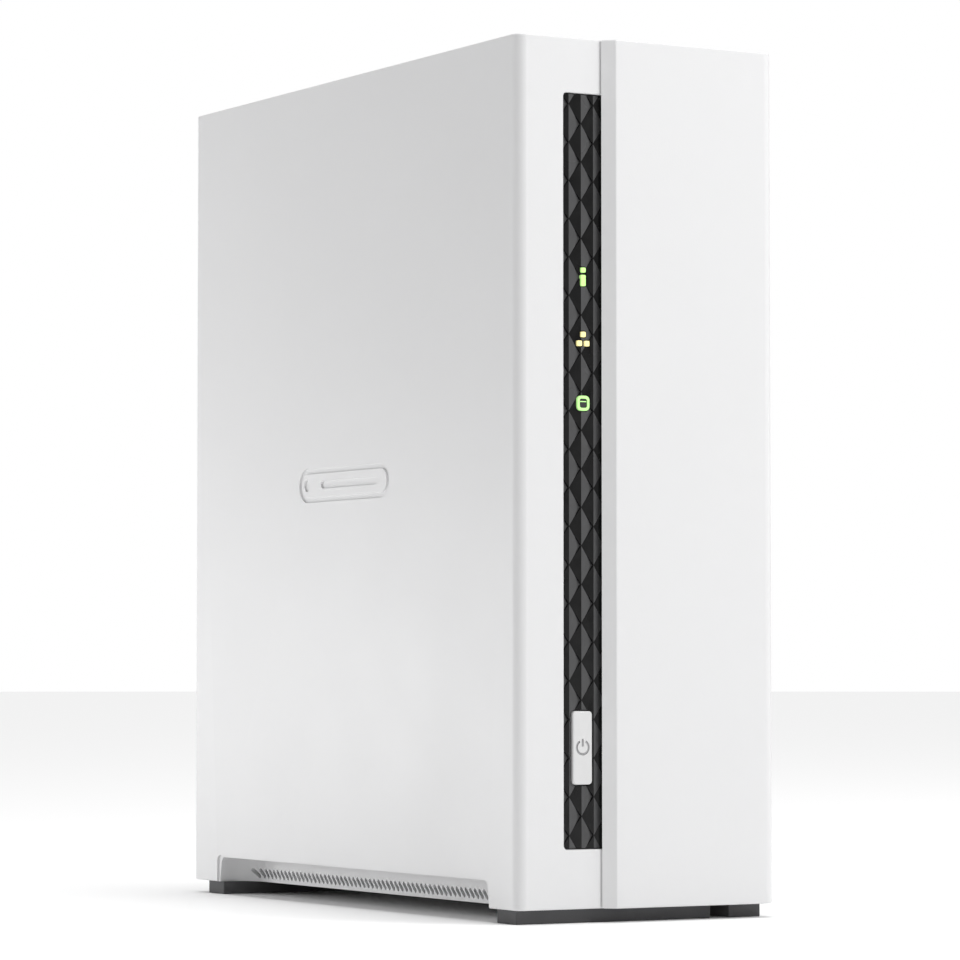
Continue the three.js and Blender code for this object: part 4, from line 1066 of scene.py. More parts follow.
def usb_tongue(name):
    def build(bm):
        low, high = span(name)
        z = halfway(low, high)[2]
        slab(bm, (low.x + 2.6, high.y - 13.2, z - 5.5), (low.x + 4.4, high.y - 1.4, z + 5.5), 0.25, "Y")
    return build


def usb_contacts(name):
    def build(bm):
        low, high = span(name)
        z = halfway(low, high)[2]
        for offset in (-3.5, -1.0, 1.0, 3.5):
            slab(bm, (low.x + 4.35, high.y - 12.5, z + offset - 0.5),
                 (low.x + 4.5, high.y - 2.4, z + offset + 0.5), 0.05)
    return build


def usb_springs(name):
    def build(bm):
        low, high = span(name)
        z = halfway(low, high)[2]
        for at in (z - 3.2, z + 3.2):
            for x, side in ((low.x + 0.6, 1), (high.x - 0.5, -1)):
                path = [(x - side * 0.1, high.y - 9, at), (x + side * 0.55, high.y - 4.5, at),
                        (x + side * 0.35, high.y - 2.2, at), (x - side * 0.05, high.y - 1.4, at)]
                for k in (-0.6, -0.3, 0, 0.3, 0.6):
                    tube(bm, [(a, b, c + k) for a, b, c in smooth_path(path, 4)], 0.17, 6)
    return build


def power_hollow(bm, low, high):
    x, _, z = halfway(low, high)
    cutter(bm, circle(x, z, 3.2, 40), "Y", high.y - 10, high.y + 1, high.y, 0.3)


def power_pin(bm):
    low, high = span("power_socket")
    x, _, z = halfway(low, high)
    top = high.y - 1
    profile = [(0, high.y - 10.3), (1.0, high.y - 10.3), (1.0, top - 0.5), (0.85, top - 0.15), (0.5, top),
               (0, top)]
    lathe(bm, profile, "Y", (x, z), 24)


LAMP_AMBER = material("lamp_window", (0.75, 0.5, 0.1), 0.2, grain=1500, bump=0.000004)
TONGUE_BLUE = material("usb_tongue_blue", (0.03, 0.13, 0.5), 0.4, grain=2500)
socket_shell("network_socket", network_hollow, TIN,
             [("pins", network_pins, GOLD, "socket_steel"),
              ("lamps", network_lamps, LAMP_AMBER, "lamp_body")])
for usb in ("usb_socket_upper", "usb_socket_lower"):
    socket_shell(usb, usb_hollow, TIN, [
        ("tongue", usb_tongue(usb), TONGUE_BLUE, "chip_plastic"),
        ("contacts", usb_contacts(usb), GOLD, "socket_steel"),
        ("springs", usb_springs(usb), TIN, "socket_steel")])
socket_shell("power_socket", power_hollow, BLACK, [("pin", power_pin, TIN, "socket_steel")])


# ------------------------------------------------------------------ fan

BORE = 23.4
BLADES = 7
HUB = 13.2


def build_fan_frame():
    low, high = span("fan_frame")
    outline = round_box(low.x, high.x, low.z, high.z, 3.0, 6)
    fan = new_object("fan_frame_moulding", prism, outline, "Y", low.y, high.y, 0.35)
    cut(fan, cutter, circle(FAN_X, FAN_Z, BORE, 72), "Y", low.y - 1, high.y + 1, low.y, 0.5)

    def waist(b):
        for x in (low.x - 1, high.x + 1):
            for z in (low.z - 1, high.z + 1):
                slab(b, (x - 9, low.y + 3.2, z - 9), (x + 9, high.y - 3.2, z + 9), 0.4, "Y")
    cut(fan, waist)

    def corner_holes(b):
        for name in FAN_SCREWS:
            spot = middle(name)
            prism(b, circle(spot.x, spot.z, 1.9, 20), "Y", low.y - 1, high.y + 1)
    cut(fan, corner_holes)

    def spider(b):
        profile = [(0, high.y - 1.6), (12.6, high.y - 1.6), (13.0, high.y - 1.3), (13.0, high.y - 0.1),
                   (0, high.y - 0.1)]
        lathe(b, profile, "Y", (FAN_X, FAN_Z), 48)
    join(fan, spider)

    def struts(b):
        for turn in range(4):
            angle = math.radians(90 * turn + 12)
            along = Vector((math.cos(angle), math.sin(angle)))
            across = Vector((-along.y, along.x))
            centre = Vector((FAN_X, FAN_Z))
            ends = [centre + along * 12 - across * 1.2, centre + along * 24 - across * 1.0 + across * 3,
                    centre + along * 24 + across * 1.0 + across * 3, centre + along * 12 + across * 1.2]
            prism(b, [tuple(p) for p in ends], "Y", high.y - 1.7, high.y - 0.2, 0.2)
    join(fan, struts)
    return finish_piece(fan, FAN_BLACK, "housing", ["fan_frame"])


def build_impeller(bm):
    low, high = span("fan_impeller")
    lathe(bm, [(0, low.y), (HUB - 1.6, low.y), (HUB - 0.6, low.y + 0.35), (HUB, low.y + 1.4),
               (HUB, high.y - 0.4), (HUB - 0.4, high.y), (0, high.y)], "Y", (FAN_X, FAN_Z), 56)
    rows, columns = 10, 8
    for blade in range(BLADES):
        loops = []
        for i in range(rows + 1):
            t = i / rows
            radius = HUB - 0.5 + (22.4 - HUB + 0.5) * t
            pitch = math.radians(48 - 20 * t)
            sweep = 0.30 * t * t
            half = 5.2 + 1.6 * t
            profile = []
            for side, order in ((1, range(columns + 1)), (-1, range(columns - 1, 0, -1))):
                for k in order:
                    s = -1 + 2 * k / columns
                    thick = 0.42 * math.sqrt(max(0.06, 1 - s * s)) * side
                    arc_height = 0.9 * (1 - s * s)
                    along, off = s * half, thick + arc_height
                    y = along * math.sin(pitch) + off * math.cos(pitch)
                    swing = (along * math.cos(pitch) - off * math.sin(pitch)) / radius + sweep
                    angle = swing + blade * 2 * math.pi / BLADES
                    profile.append((FAN_X + radius * math.cos(angle), (low.y + high.y) / 2 + y * 0.92,
                                    FAN_Z + radius * math.sin(angle)))
            loops.append([bm.verts.new(Vector(p) * MM) for p in profile])
        skin(bm, loops)


def build_fan_label(bm):
    lathe(bm, [(0, FAN_REAR - 0.1), (9.9, FAN_REAR - 0.1), (10, FAN_REAR - 0.02), (0, FAN_REAR - 0.02)], "Y",
          (FAN_X, FAN_Z), 48)


LABEL = material("label_foil", (0.6, 0.61, 0.63), 0.35, grain=900, bump=0.000004, mottle=0.05, Metallic=0.7)
build_fan_frame()
make("fan_impeller_blades", build_impeller, FAN_BLACK, "fan_rotor", ["fan_impeller"])
make("fan_hub_label", build_fan_label, LABEL, "housing")


# ------------------------------------------------------------------ circuit boards

def board_tracks():
    """Copper tracks and vias under a board's lacquer: a colour and a height."""
    tree, inside, outside = group(
        "board_tracks",
        [("Lacquer", "NodeSocketColor", (0.01, 0.085, 0.045, 1)),
         ("Track", "NodeSocketColor", (0.03, 0.18, 0.09, 1)), ("Scale", "NodeSocketFloat", 420.0)],
        [("Colour", "NodeSocketColor"), ("Height", "NodeSocketFloat")])
    parts = node(tree, "ShaderNodeSeparateXYZ", Vector=object_place(tree))
    along = maths(tree, "ADD", parts.outputs["X"], parts.outputs["Y"])
    flat = node(tree, "ShaderNodeCombineXYZ", X=along, Y=parts.outputs["Z"]).outputs[0]
    tracks = node(tree, "ShaderNodeTexBrick", offset=0.37, Vector=flat, Scale=inside.outputs["Scale"],
                  Mortar_Size=0.07, Mortar_Smooth=0.1, Brick_Width=2.9, Row_Height=0.36)
    some = rise(tree, noise(tree, flat, Scale=70.0, Detail=1.0), 0.44, 0.5)
    vias = node(tree, "ShaderNodeTexVoronoi", Vector=flat, Scale=330.0)
    dots = maths(tree, "LESS_THAN", vias.outputs["Distance"], 0.13)
    copper = maths(tree, "MAXIMUM", maths(tree, "MULTIPLY", tracks.outputs["Fac"], some), dots)
    feed(tree, outside, {"Colour": blend(tree, copper, inside.outputs["Lacquer"], inside.outputs["Track"]),
                         "Height": copper})
    return tree


def board_material():
    made = material("circuit_board", (0.012, 0.09, 0.05), 0.34, grain=2000, bump=0.00003, mottle=0.06)
    tree = made.node_tree
    tracks = node(tree, "ShaderNodeGroup", node_tree=board_tracks())
    feed(tree, shared_group(tree, GRAIN), {"Colour": tracks.outputs["Colour"]})
    feed(tree, tree.nodes["Bump"], {"Height": tracks.outputs["Height"]})
    return made


PCB = board_material()
CERAMIC = material("ceramic_part", (0.45, 0.34, 0.22), 0.4, grain=5000, bump=0.000003)
FOIL = material("can_foil", (0.7, 0.71, 0.72), 0.28, grain=3000, bump=0.000003, Metallic=1.0)
PLANE = {"X": (1, 2, 0), "Y": (0, 2, 1), "Z": (0, 1, 2)}
BOARD_HOLE = 1.5


def board(name, axis, holes=(), radius=1.5):
    """A circuit board's plate with its screw holes."""
    low, high = span(name)
    a, b, h = PLANE[axis]
    outline = round_box(low[a], high[a], low[b], high[b], radius, 4)
    plate = new_object(name + "_plate", prism, outline, axis, low[h], high[h], 0.08, 2)
    if holes:
        cut(plate, lambda bm: [prism(bm, circle(*hole, BOARD_HOLE, 20), axis, low[h] - 1, high[h] + 1)
                               for hole in holes])
    return finish_piece(plate, PCB, "housing", [name])


def on_face(bm, axis, face, up, a, b, wide, high, thick, edge=0.12):
    """A small block that stands on a board's face; up is +1 or -1 along the axis."""
    ha, hb, hh = PLANE[axis]
    low, top = [0, 0, 0], [0, 0, 0]
    low[ha], top[ha] = a - wide / 2, a + wide / 2
    low[hb], top[hb] = b - high / 2, b + high / 2
    low[hh], top[hh] = sorted((face - up * 0.02, face + up * thick))
    slab(bm, low, top, edge, axis)


def small_parts(name, axis, face, up, rows):
    """Rows of chip parts: brown bodies, and bright ends that stick out of them a little."""
    def bodies(bm):
        for a, b, da, db, count, turned in rows:
            for i in range(count):
                wide, high = (0.85, 1.2) if turned else (1.2, 0.85)
                on_face(bm, axis, face, up, a + da * i, b + db * i, wide, high, 0.6, 0.06)

    def ends(bm):
        for a, b, da, db, count, turned in rows:
            for i in range(count):
                for side in (-1, 1):
                    ea, eb = (0, side * 0.78) if turned else (side * 0.78, 0)
                    wide, high = (0.9, 0.42) if turned else (0.42, 0.9)
                    on_face(bm, axis, face, up, a + da * i + ea, b + db * i + eb, wide, high, 0.62, 0.06)
    make(name + "_parts", bodies, CERAMIC, "housing", angle=50)
    make(name + "_part_ends", ends, TIN, "housing", angle=50)


def package(name, leads=0, pitch=0.8):
    """A chip: a body with a sunk first-pin dot, and leads along its two upright sides."""
    low, high = span(name)
    body = new_object(name + "_package", slab, (low.x + 0.12, low.y, low.z), high, 0.22, "X")
    first_pin = circle(low.y + 1.6, high.z - 1.6, 0.45, 20)
    cut(body, cutter, first_pin, "X", high.x - 0.12, high.x + 1, high.x, 0.06)
    finish_piece(body, BLACK, "housing", [name])
    if not leads:
        return

    def legs(bm):
        z0 = (low.z + high.z) / 2 - (leads - 1) * pitch / 2
        for i in range(leads):
            for y, out in ((low.y, -1), (high.y, 1)):
                path = [(low.x + 0.55, y - out * 0.1), (low.x + 0.55, y + out * 0.35),
                        (low.x + 0.12, y + out * 0.6), (low.x + 0.12, y + out * 1.0)]
                for (xa, ya), (xb, yb) in zip(path, path[1:]):
                    slab(bm, (min(xa, xb) - 0.07, min(ya, yb) - 0.05, z0 + i * pitch - 0.15),
                         (max(xa, xb) + 0.07, max(ya, yb) + 0.05, z0 + i * pitch + 0.15), 0.02)
    make(name + "_leads", legs, TIN, "housing")


def can_capacitor(bm, y, z, radius, tall):
    lathe(bm, [(0, BOARD_FACE - 0.02), (radius * 0.97, BOARD_FACE), (radius * 0.97, BOARD_FACE + 0.7),
               (radius * 0.9, BOARD_FACE + 0.9), (radius, BOARD_FACE + 1.1),
               (radius, BOARD_FACE + tall - 0.3), (radius - 0.3, BOARD_FACE + tall),
               (0, BOARD_FACE + tall)], "X", (y, z), 28)


def build_boards():
    screws = [(middle(n).y, middle(n).z) for n in BOARD_SCREWS]
    board("main_board", "X", screws, 2)
    screws = [(middle(n).x, middle(n).z) for n in INDICATOR_SCREWS]
    board("indicator_board", "Y", screws)
    board("drive_riser_board", "Z", radius=0.6)
    sink_low, sink_high = span("heat_sink")
    above, under = sink_high.z + 3, sink_low.z - 3
    small_parts("main_board", "X", BOARD_FACE, 1, [
        (sink_low.y + 1, above, 2.4, 0, 12, True), (sink_low.y + 1, above + 3, 2.4, 0, 4, True),
        (sink_low.y + 1, under, 2.4, 0, 12, True), (sink_high.y + 3, sink_low.z + 2, 0, 2.2, 12, False),
        (sink_high.y + 6, sink_low.z + 6, 0, 2.2, 7, False), (-26, 46, 0, 2.2, 12, False),
        (-22, 80, 2.3, 0, 8, True), (22, 86, 0, 2, 8, False), (30, 100, 2.2, 0, 4, True),
        (-6, 24, 2.4, 0, 6, True)])
    small_parts("indicator_board", "Y", INDICATOR_FACE, -1, [
        (-9.5, middle(n + "_lamp").z - 1, 0, 2, 2, False) for n in ("status", "network", "disk")]
        + [(-20.5, 60, 0, 2.4, 5, False), (-8, 34, 0, 2.2, 4, False)])

    def capacitors(bm):
        for y, z in ((50, 24), (43.5, 24), (50, 31), (34, 80)):
            can_capacitor(bm, y, z, 2.6, 5.6)
    make("board_capacitors", capacitors, FOIL, "housing")

    def power_parts(bm):
        for block in ((38, 30, 7, 7, 3.2, 0.5), (50, 46, 9, 13, 4.2, 0.35), (-27, 70, 4.5, 3.5, 1.0, 0.2),
                      (37, 62, 6, 6, 0.9, 0.15)):
            on_face(bm, "X", BOARD_FACE, 1, *block)
    make("board_coils_and_drivers", power_parts, BLACK, "housing")
    package("processor")
    package("memory_chip")
    package("flash_chip", 14)


def build_heat_sink(bm):
    low, high = span("heat_sink")
    slab(bm, (low.x, low.y, low.z), (low.x + 1.9, high.y, high.z), 0.12, "X")
    fins, thick = 9, 1.1
    pitch = (high.y - low.y - thick) / (fins - 1)
    for i in range(fins):
        y = low.y + i * pitch
        for z0, z1 in ((low.z, low.z + 9.4), (low.z + 10.3, low.z + 19.7), (low.z + 20.6, high.z)):
            top = high.x
            outline = [(y, low.x + 1.8), (y + thick, low.x + 1.8), (y + thick * 0.86, top - 0.25),
                       (y + thick * 0.7, top), (y + thick * 0.3, top), (y + thick * 0.14, top - 0.25)]
            stack(bm, [([(x, yy) for yy, x in outline], z) for z in (z0, z1)], "Z")


def build_battery(bm):
    low, high = span("clock_battery")
    _, y, z = halfway(low, high)
    r = (high.y - low.y) / 2
    lathe(bm, [(0, low.x), (r * 0.78, low.x), (r * 0.8, low.x + 0.5), (r - 0.15, low.x + 0.6),
               (r, low.x + 0.8), (r, high.x - 0.3), (r - 0.3, high.x), (r - 1.0, high.x - 0.02),
               (r - 1.1, high.x - 0.1), (0, high.x - 0.1)], "X", (y, z), 44)


def build_battery_clip(bm):
    low, high = span("clock_battery")
    _, y, z = halfway(low, high)
    for side in (-1, 1):
        y0, y1 = sorted((y + side * 6.3, y + side * 7.6))
        slab(bm, (low.x - 0.02, y0, z - 3), (high.x + 0.3, y1, z + 3), 0.15)
        y0, y1 = sorted((y + side * 4.9, y + side * 7.4))
        slab(bm, (high.x + 0.03, y0, z - 1.6), (high.x + 0.33, y1, z + 1.6), 0.1)


# ------------------------------------------------------------------ lamps, switches, plugs and leads

def build_lamp(name):
    low, high = span(name)
    x, _, z = halfway(low, high)

    def body(bm):
        slab(bm, (low.x, low.y + 0.35, low.z), high, 0.06)
        prism(bm, round_box(x - 0.68, x + 0.68, z - 0.48, z + 0.48, 0.2, 3), "Y", low.y, low.y + 0.4, 0,
              low_edge=0.14)
    make(name + "_body", body, IVORY, "housing", [name])


def build_power_switch():
    low, high = span("power_switch")
    x, z = KEY_X, KEY_Z
    corners = [(sx, sz) for sx in (-1, 1) for sz in (-1, 1)]

    def rivets(bm):
        for sx, sz in corners:
            a, b = x + sx * 2.3, z + sz * 2.3
            slab(bm, (a - 0.25, low.y - 0.08, b - 0.25), (a + 0.25, low.y + 0.2, b + 0.25), 0.05)

    well = span("power_switch_plunger")[1].x - x + 0.2
    body = new_object("power_switch_body", slab, (low.x, low.y + 0.45, low.z), high, 0.2)
    cut(body, prism, circle(x, z, well, 32), "Y", low.y - 1, high.y - 0.6)
    finish_piece(body, BLACK, "housing", ["power_switch"])
    outline = round_box(low.x + 0.1, high.x - 0.1, low.z + 0.1, high.z - 0.1, 0.3, 3)
    plate = new_object("power_switch_plate", prism, outline, "Y", low.y, low.y + 0.5, 0.05)
    cut(plate, prism, circle(x, z, well + 0.05, 32), "Y", low.y - 1, high.y)
    join(plate, rivets)
    finish_piece(plate, TIN, "housing")

    def legs(bm):
        for sx, sz in corners:
            x0, x1 = sorted((x + sx * 2.9, x + sx * 3.9))
            slab(bm, (x0, high.y - 0.25, z + sz * 2.1 - 0.35), (x1, high.y, z + sz * 2.1 + 0.35), 0.05)
    make("power_switch_legs", legs, TIN, "housing")


def build_plunger(node_name, body, colour, sides=32):
    low, high = span(node_name)
    x, _, z = halfway(low, high)
    r = (high.x - low.x) / 2
    profile = [(0, low.y), (r - 0.25, low.y), (r - 0.08, low.y + 0.08), (r, low.y + 0.25), (r, high.y - 0.25),
               (r - 0.08, high.y - 0.08), (r - 0.25, high.y), (0, high.y)]
    make(node_name + "_stem", lambda bm: lathe(bm, profile, "Y", (x, z), sides), colour, body,
         [node_name])


def build_reset_switch():
    low, high = span("reset_switch")
    pin = middle("reset_plunger")
    body = new_object("reset_switch_body", slab, low, high, 0.2)
    cut(body, cutter, circle(pin.x, pin.z, 1.2, 28), "Y", high.y - 3, high.y + 1, high.y, 0.12)
    finish_piece(body, BLACK, "housing", ["reset_switch"])

    clip = new_object("reset_switch_clip", slab, (low.x - 0.02, low.y + 1.2, low.z - 0.2),
                      (high.x + 0.18, low.y + 2.6, high.z + 0.2), 0.1)
    cut(clip, slab, (low.x - 1, low.y + 1.0, low.z + 0.02), (high.x - 0.02, low.y + 2.8, high.z - 0.02),
        0.05)
    finish_piece(clip, TIN, "housing")


def plug_housing(name, axis, ribs):
    """A plug or socket block with ribs along its sides."""
    low, high = span(name)
    a, b, h = PLANE[axis]
    block = new_object(name + "_housing", slab, low, high, 0.25, axis)

    def grooves(bm):
        run = high[b] - low[b]
        for i in range(ribs):
            at = low[b] + run * (i + 0.5) / ribs
            for side, edge in ((-1, low[a]), (1, high[a])):
                lo, hi = [0, 0, 0], [0, 0, 0]
                lo[a], hi[a] = sorted((edge - side * 0.22, edge + side * 1))
                lo[b], hi[b] = at - run * 0.16 / ribs - 0.12, at + run * 0.16 / ribs + 0.12
                lo[h], hi[h] = low[h] + 0.7, high[h] - 0.7
                slab(bm, lo, hi, 0.06, axis)
    cut(block, grooves)
    finish_piece(block, IVORY, "housing", [name])


def build_cables():
    low, high = span("indicator_cable")
    plug = span("cable_plug")
    socket = span("cable_socket")
    start_x, end_x = high.x - 0.4, low.x + 0.4
    y0, y1 = plug[1].y - 0.3, socket[0].y + 0.3
    route = [(start_x, y0, 0), (start_x, y0 + 5.3, 0), (start_x - 0.6, -47, 0), (end_x + 0.2, -41, 0),
             (end_x, y1 - 2.3, 0), (end_x, y1, 0)]
    wires = 8
    pitch = (high.z - low.z) / wires

    def ribbon(bm):
        for i in range(wires):
            z = low.z + (i + 0.5) * pitch
            tube(bm, [(p.x, p.y, z) for p in smooth_path(route, 5)], 0.38, 10)
        for i in range(wires - 1):
            z = low.z + (i + 1) * pitch
            tube(bm, [(p.x, p.y, z) for p in smooth_path(route, 5)], 0.16, 6)
    make("indicator_ribbon", ribbon, RIBBON, "housing", ["indicator_cable"])
    low, high = span("fan_lead")
    plug_low, plug_high = span("fan_plug")
    x_end = (plug_low.x + plug_high.x) / 2 - 0.2
    y_end, z_end = (plug_low.y + plug_high.y) / 2, plug_high.z
    lead = smooth_path([(-20, FAN_FRONT + 0.3, 120), (-20, FAN_FRONT - 5, 119.6), (-20.6, 49.5, 117),
                        (-21.8, 46, 112.5), (x_end, y_end + 0.2, 108), (x_end, y_end, z_end - 0.2)], 8)

    def twisted(which):
        def build(bm):
            points = []
            for i, point in enumerate(lead):
                angle = i * 0.32 + which * 2 * math.pi / 3
                ahead = (lead[min(i + 1, len(lead) - 1)] - lead[max(i - 1, 0)]).normalized()
                side = ahead.cross(Vector((1, 0, 0))).normalized()
                other = ahead.cross(side)
                points.append(point + side * 0.56 * math.cos(angle) + other * 0.56 * math.sin(angle))
            tube(bm, points, 0.5, 12)
        return build
    for which, (label, colour) in enumerate((("black", CABLE), ("red", WIRE_RED), ("yellow", WIRE_YELLOW))):
        make(f"fan_wire_{label}", twisted(which), colour, "housing",
             ["fan_lead"] if not which else ())


RIBBON = material("ribbon_sleeve", (0.34, 0.34, 0.35), 0.45, grain=1200, bump=0.000006)
WIRE_RED = material("wire_red", (0.5, 0.02, 0.02), 0.42, grain=1500, bump=0.000006)
WIRE_YELLOW = material("wire_yellow", (0.75, 0.55, 0.04), 0.42, grain=1500, bump=0.000006)
STEM = material("switch_stem", (0.05, 0.05, 0.055), 0.4, grain=2200, edge=(0.12, 0.12, 0.12))
build_boards()
make("heat_sink_fins", build_heat_sink, ANODISED, "housing", ["heat_sink"])
make("clock_battery_cell", build_battery, FOIL, "housing", ["clock_battery"])
make("clock_battery_clip", build_battery_clip, BLACK, "housing")
for symbol in SYMBOLS:
    build_lamp(symbol + "_lamp")
build_power_switch()
build_plunger("power_switch_plunger", "power_plunger", STEM)
build_reset_switch()
build_plunger("reset_plunger", "reset_pin", STEM, 24)
plug_housing("cable_plug", "Y", 4)
plug_housing("cable_socket", "Y", 4)
plug_housing("fan_plug", "Z", 2)
plug_housing("fan_socket", "Z", 2)
build_cables()


# ------------------------------------------------------------------ drive, bracket and connector

drive_low, drive_high = span("drive_base")
lid_low, lid_high = span("drive_lid")


def drive_hole_heights():
    return [middle("drive_screw_front_" + n).z for n in ("lower", "upper")]


def build_drive_base():
    hole_x = middle("drive_screw_front_lower").x
    outline = round_box(drive_low.y, drive_high.y, drive_low.z, drive_high.z, 2.5)
    base = new_object("drive_base_casting", prism, outline, "X", drive_low.x, drive_high.x, 0.35)
    chamber = round_box(drive_low.y + 5, drive_high.y - 5, drive_low.z + 6, drive_high.z - 5, 12, 8)
    cut(base, prism, chamber, "X", drive_high.x - 11, drive_high.x + 1)
    low, high = span("drive_circuit_board")
    cut(base, slab, (drive_low.x - 1, low.y - 0.5, drive_low.z - 1),
        (high.x + 0.2, high.y + 0.5, high.z + 0.5), 0.2)

    def holes(b):
        for z in drive_hole_heights():
            prism(b, circle(hole_x, z, 1.8, 20), "Y", drive_low.y - 1, drive_low.y + 5)
            prism(b, circle(hole_x, z, 1.8, 20), "Y", drive_high.y - 5, drive_high.y + 1)
    cut(base, holes)

    def pockets(b):
        for y0, y1 in ((drive_low.y - 1, drive_low.y + 1.2), (drive_high.y - 1.2, drive_high.y + 1)):
            for z in (70, 96, 122):
                slab(b, (drive_low.x + 12.5, y0, z), (drive_low.x + 20, y1, z + 18), 0.8, "Y")
    cut(base, pockets)

    def round_recesses(bm):
        for y, z, radius, depth in ((0, 128, 20, 0.6), (-30, 112, 8, 0.9), (34, 150, 6, 0.9)):
            prism(bm, circle(y, z, radius, 40), "X", drive_low.x - 1, drive_low.x + depth)
    cut(base, round_recesses)
    join(base, lathe, [(0, drive_low.x + 0.4), (12, drive_low.x + 0.4), (12, drive_low.x + 0.1),
                       (11.6, drive_low.x + 0.02), (0, drive_low.x + 0.02)], "X", (0, 128), 44)
    finish_piece(base, CAST, "housing", ["drive_base"])


def build_drive_lid():
    outline = round_box(lid_low.y, lid_high.y, lid_low.z, lid_high.z, 5)
    lid = new_object("drive_lid_pressing", prism, outline, "X", lid_low.x, lid_high.x - 0.35, 0.2)
    dome = round_box(lid_low.y + 5, lid_high.y - 5, lid_low.z + 46, lid_high.z - 5, 38, 16)
    join(lid, prism, dome, "X", lid_high.x - 0.6, lid_high.x, 0.3)
    cut(lid, cutter, circle(1, lid_high.z - 58, 9, 40), "X", lid_high.x - 0.25, lid_high.x + 1, lid_high.x,
        0.2)
    cut(lid, cutter, circle(-26, lid_low.z + 28, 7, 36), "X", lid_high.x - 0.6, lid_high.x + 1,
        lid_high.x - 0.35, 0.2)
    finish_piece(lid, SHEET, "housing", ["drive_lid"])
    pattern = screw_mesh(2.2, 0.25, 1.0, 0.95, 24)
    turn = Matrix.Rotation(math.pi / 2, 4, "Y")
    spots = [(y, z) for y in (lid_low.y + 3, lid_high.y - 3) for z in (lid_low.z + 3.2, 98, lid_high.z - 3.2)]
    for i, (y, z) in enumerate(spots):
        spin = Matrix.Rotation(0.9 * i, 4, "Z")
        screw = turned_copy(f"drive_lid_screw_{i + 1}", pattern, Vector((lid_high.x - 0.37, y, z)),
                            turn @ spin)
        finish_piece(screw, SCREW, "housing")

    def label(bm):
        slab(bm, (lid_high.x - 0.36, -8, lid_low.z + 8), (lid_high.x - 0.27, 38, lid_low.z + 42), 0.02, "X")
    make("drive_blank_label", label, LABEL, "housing")


def build_drive_board():
    low = span("drive_circuit_board")[0]
    board("drive_circuit_board", "X", radius=1)
    small_parts("drive_board", "X", low.x, -1, [(-30, 60, 2.3, 0, 10, True), (12, 84, 2.3, 0, 8, True),
                                                (-34, 44, 0, 2.2, 6, False), (30, 46, 0, 2.2, 8, False)])

    def chips(bm):
        for block in ((-12, 74, 14, 14, 0.75), (16, 66, 9, 12, 0.75), (-6, 48, 8, 8, 0.7)):
            on_face(bm, "X", low.x, -1, *block, 0.15)
    make("drive_board_chips", chips, BLACK, "housing")


def build_bracket():
    low, high = span("drive_bracket")
    gap, thick = 0.3, 1.0
    sides = (drive_low.y - gap, drive_high.y + gap)
    z0, z1 = 32, 164
    bend = 1.4
    plate_x = low.x

    def channel_plan(offset):
        x0, y0, y1 = plate_x + offset, sides[0] - thick + offset, sides[1] + thick - offset
        return x0, y0, y1
    x0, y0, y1 = channel_plan(0)
    xi, yi0, yi1 = channel_plan(thick)
    end = high.x
    outline = ([(end, y0), (end, yi0)] + arc(xi + 0.4, yi0 + 0.4, 0.4, 270, 180, 4)
               + arc(xi + 0.4, yi1 - 0.4, 0.4, 180, 90, 4) + [(end, yi1), (end, y1)]
               + arc(x0 + bend, y1 - bend, bend, 90, 180, 6) + arc(x0 + bend, y0 + bend, bend, 180, 270, 6))
    bracket = new_object("drive_bracket_pressing", stack, [(outline, z0), (outline, z1)], "Z")
    posts = [(middle(n).y, middle(n).z) for n in BRACKET_SCREWS]

    def ears(b):
        for y, z in posts[:2]:
            prism(b, round_box(y - 4, sides[0] + 4, z - 5, z + 5, 2, 5), "X", x0, x0 + thick, 0.1)
        y, z = posts[2]
        rear_ear = [(sides[1] - 14, z1 - 1.5), (sides[1], z1 - 1.5), (sides[1], z - 5), (y + 4, z - 5),
                    (y + 4, z + 5), (sides[1] - 14, z + 5)]
        prism(b, rear_ear, "X", x0, x0 + thick, 0.1)
    join(bracket, ears)

    def openings(b):
        for z in (54, 76, 98, 120, 142):
            cutter(b, round_box(-36, 38, z - 8, z + 8, 5, 8), "X", x0 - 1, x0 + thick + 1, x0, 0.25)
        for y, z in posts:
            prism(b, circle(y, z, 1.5, 20), "X", x0 - 1, x0 + 2)
    cut(bracket, openings)

    def side_holes(b):
        hole_x = middle("drive_screw_front_lower").x
        for z in drive_hole_heights():
            for y in (sides[0] - thick / 2, sides[1] + thick / 2):
                prism(b, circle(hole_x, z, 1.9, 20), "Y", y - 1, y + 1)
    cut(bracket, side_holes)
    finish_piece(bracket, SHEET, "housing", ["drive_bracket"])


def build_connector():
    low, high = span("drive_connector")
    shell = new_object("drive_connector_body", slab, low, high, 0.3)
    x = halfway(low, high)[0]
    cut(shell, lambda b: [slab(b, (x - 0.7, y0, high.z - 5), (x + 0.7, y1, high.z + 1), 0.2, "Z") for y0,
                          y1 in ((low.y + 4, low.y + 24.5), (low.y + 27, high.y - 4))])
    finish_piece(shell, BLACK, "housing", ["drive_connector"])

    def contacts(bm):
        for i in range(26):
            y = low.y + 5 + i * 1.27
            if abs(y - low.y - 25.7) > 1.6:
                slab(bm, (x - 0.9, y - 0.3, high.z - 4.8), (x - 0.55, y + 0.3, high.z - 0.4), 0.05)
    make("drive_connector_contacts", contacts, GOLD, "housing")


build_drive_base()
build_drive_lid()
build_drive_board()
build_bracket()
build_connector()


# ------------------------------------------------------------------ camera, light and floor

def set_camera():
    data = bpy.data.cameras.new("camera")
    camera = place_object("camera", data)
    camera.location = CAMERA_PLACE
    camera.rotation_euler = [math.radians(turn) for turn in CAMERA_TURN]
    data.lens = CAMERA_LENS
    data.sensor_width = 36
    data.clip_start = 0.01
    bpy.context.scene.camera = camera


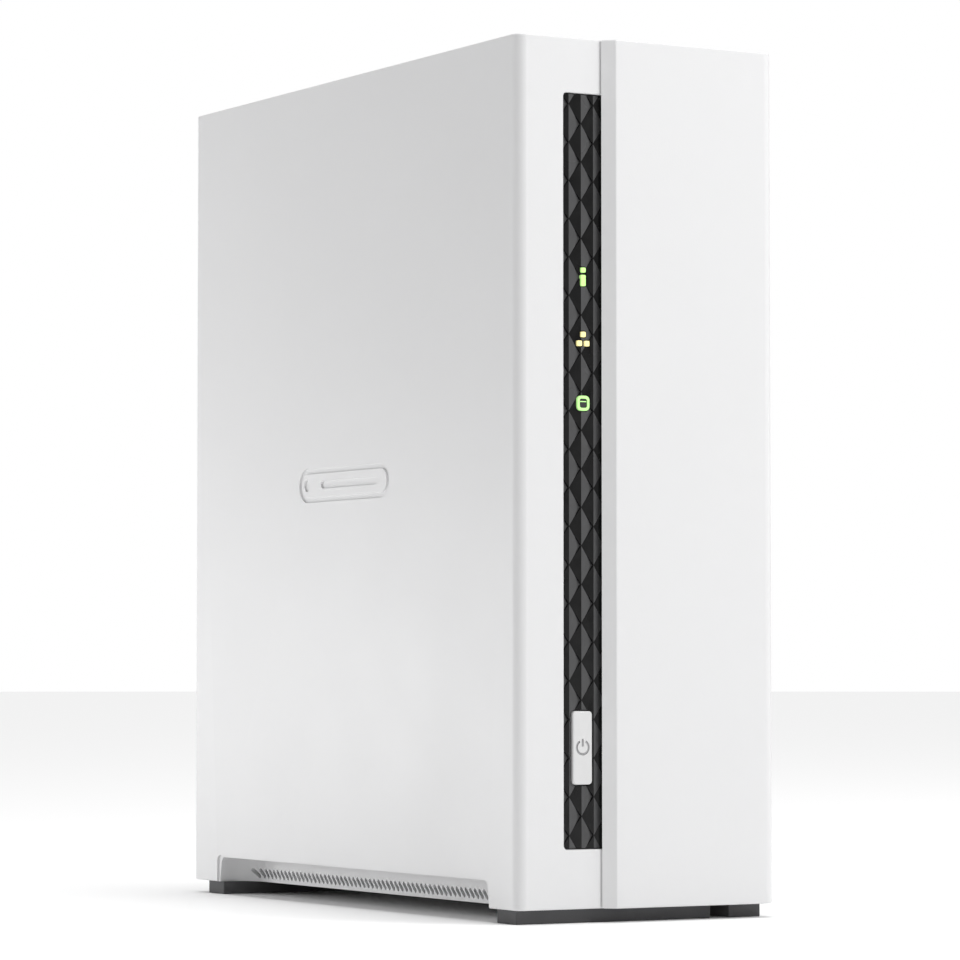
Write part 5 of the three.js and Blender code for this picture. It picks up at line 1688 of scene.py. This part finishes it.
def add_light(name, place, target, size, power):
    data = bpy.data.lights.new(name, "AREA")
    data.shape = "RECTANGLE"
    data.size, data.size_y = size
    data.energy = power
    light = place_object(name, data)
    light.visible_camera = False
    light.location = place
    light.rotation_euler = (Vector(target) - Vector(place)).to_track_quat("-Z", "Y").to_euler()


def add_overhead_light(strength):
    """Even soft light from straight above: it whitens the floor and hardly touches the sides."""
    data = bpy.data.lights.new("overhead", "SUN")
    data.energy = strength
    data.angle = math.radians(25)
    place_object("overhead", data)


def set_world():
    """A plain white room: pure white to look at, dimmer as a light."""
    world = bpy.data.worlds.new("studio")
    world.use_nodes = True
    tree = world.node_tree
    light = tree.nodes["Background"]
    feed(tree, light, {"Color": (1, 1, 1, 1), "Strength": WORLD_LIGHT})
    seen = node(tree, "ShaderNodeBackground", Color=(1, 1, 1, 1), Strength=1.0)
    either = node(tree, "ShaderNodeMixShader")
    feed(tree, either, {0: node(tree, "ShaderNodeLightPath").outputs["Is Camera Ray"],
                        1: light.outputs[0], 2: seen.outputs[0]})
    feed(tree, tree.nodes["World Output"], {"Surface": either.outputs[0]})
    bpy.context.scene.world = world
    bpy.context.scene.view_settings.view_transform = "Standard"


def set_floor():
    """A round pale floor that the light falls on evenly."""
    floor = new_object("floor", lambda bm: bmesh.ops.create_circle(bm, cap_ends=True, segments=96,
                                                                   radius=9.0))
    paint = bpy.data.materials.new("floor_paint")
    paint.use_nodes = True
    feed(paint.node_tree, paint.node_tree.nodes["Principled BSDF"],
         {"Base Color": (0.93, 0.93, 0.93, 1), "Roughness": 0.9, "Specular IOR Level": 0.1})
    floor.data.materials.append(paint)


CAMERA_PLACE = (-0.47294, -0.82331, 0.05377)
CAMERA_TURN = (92.629, 0, -30.009)
CAMERA_LENS = 154.53
WORLD_LIGHT = 0.36
AIM = (0, 0, 0.095)
set_camera()
set_world()
set_floor()
add_overhead_light(1.95)
add_light("front_top_softbox", (0.45, -0.62, 0.72), AIM, (0.4, 0.4), 3.7)
add_light("front_right_softbox", (1.3, -0.95, 0.35), AIM, (1.1, 1.8), 5.1)
add_light("left_rear_softbox", (-0.22, 0.25, 0.03), (-0.03, 0.07, 0.04), (0.12, 0.12), 0.3)
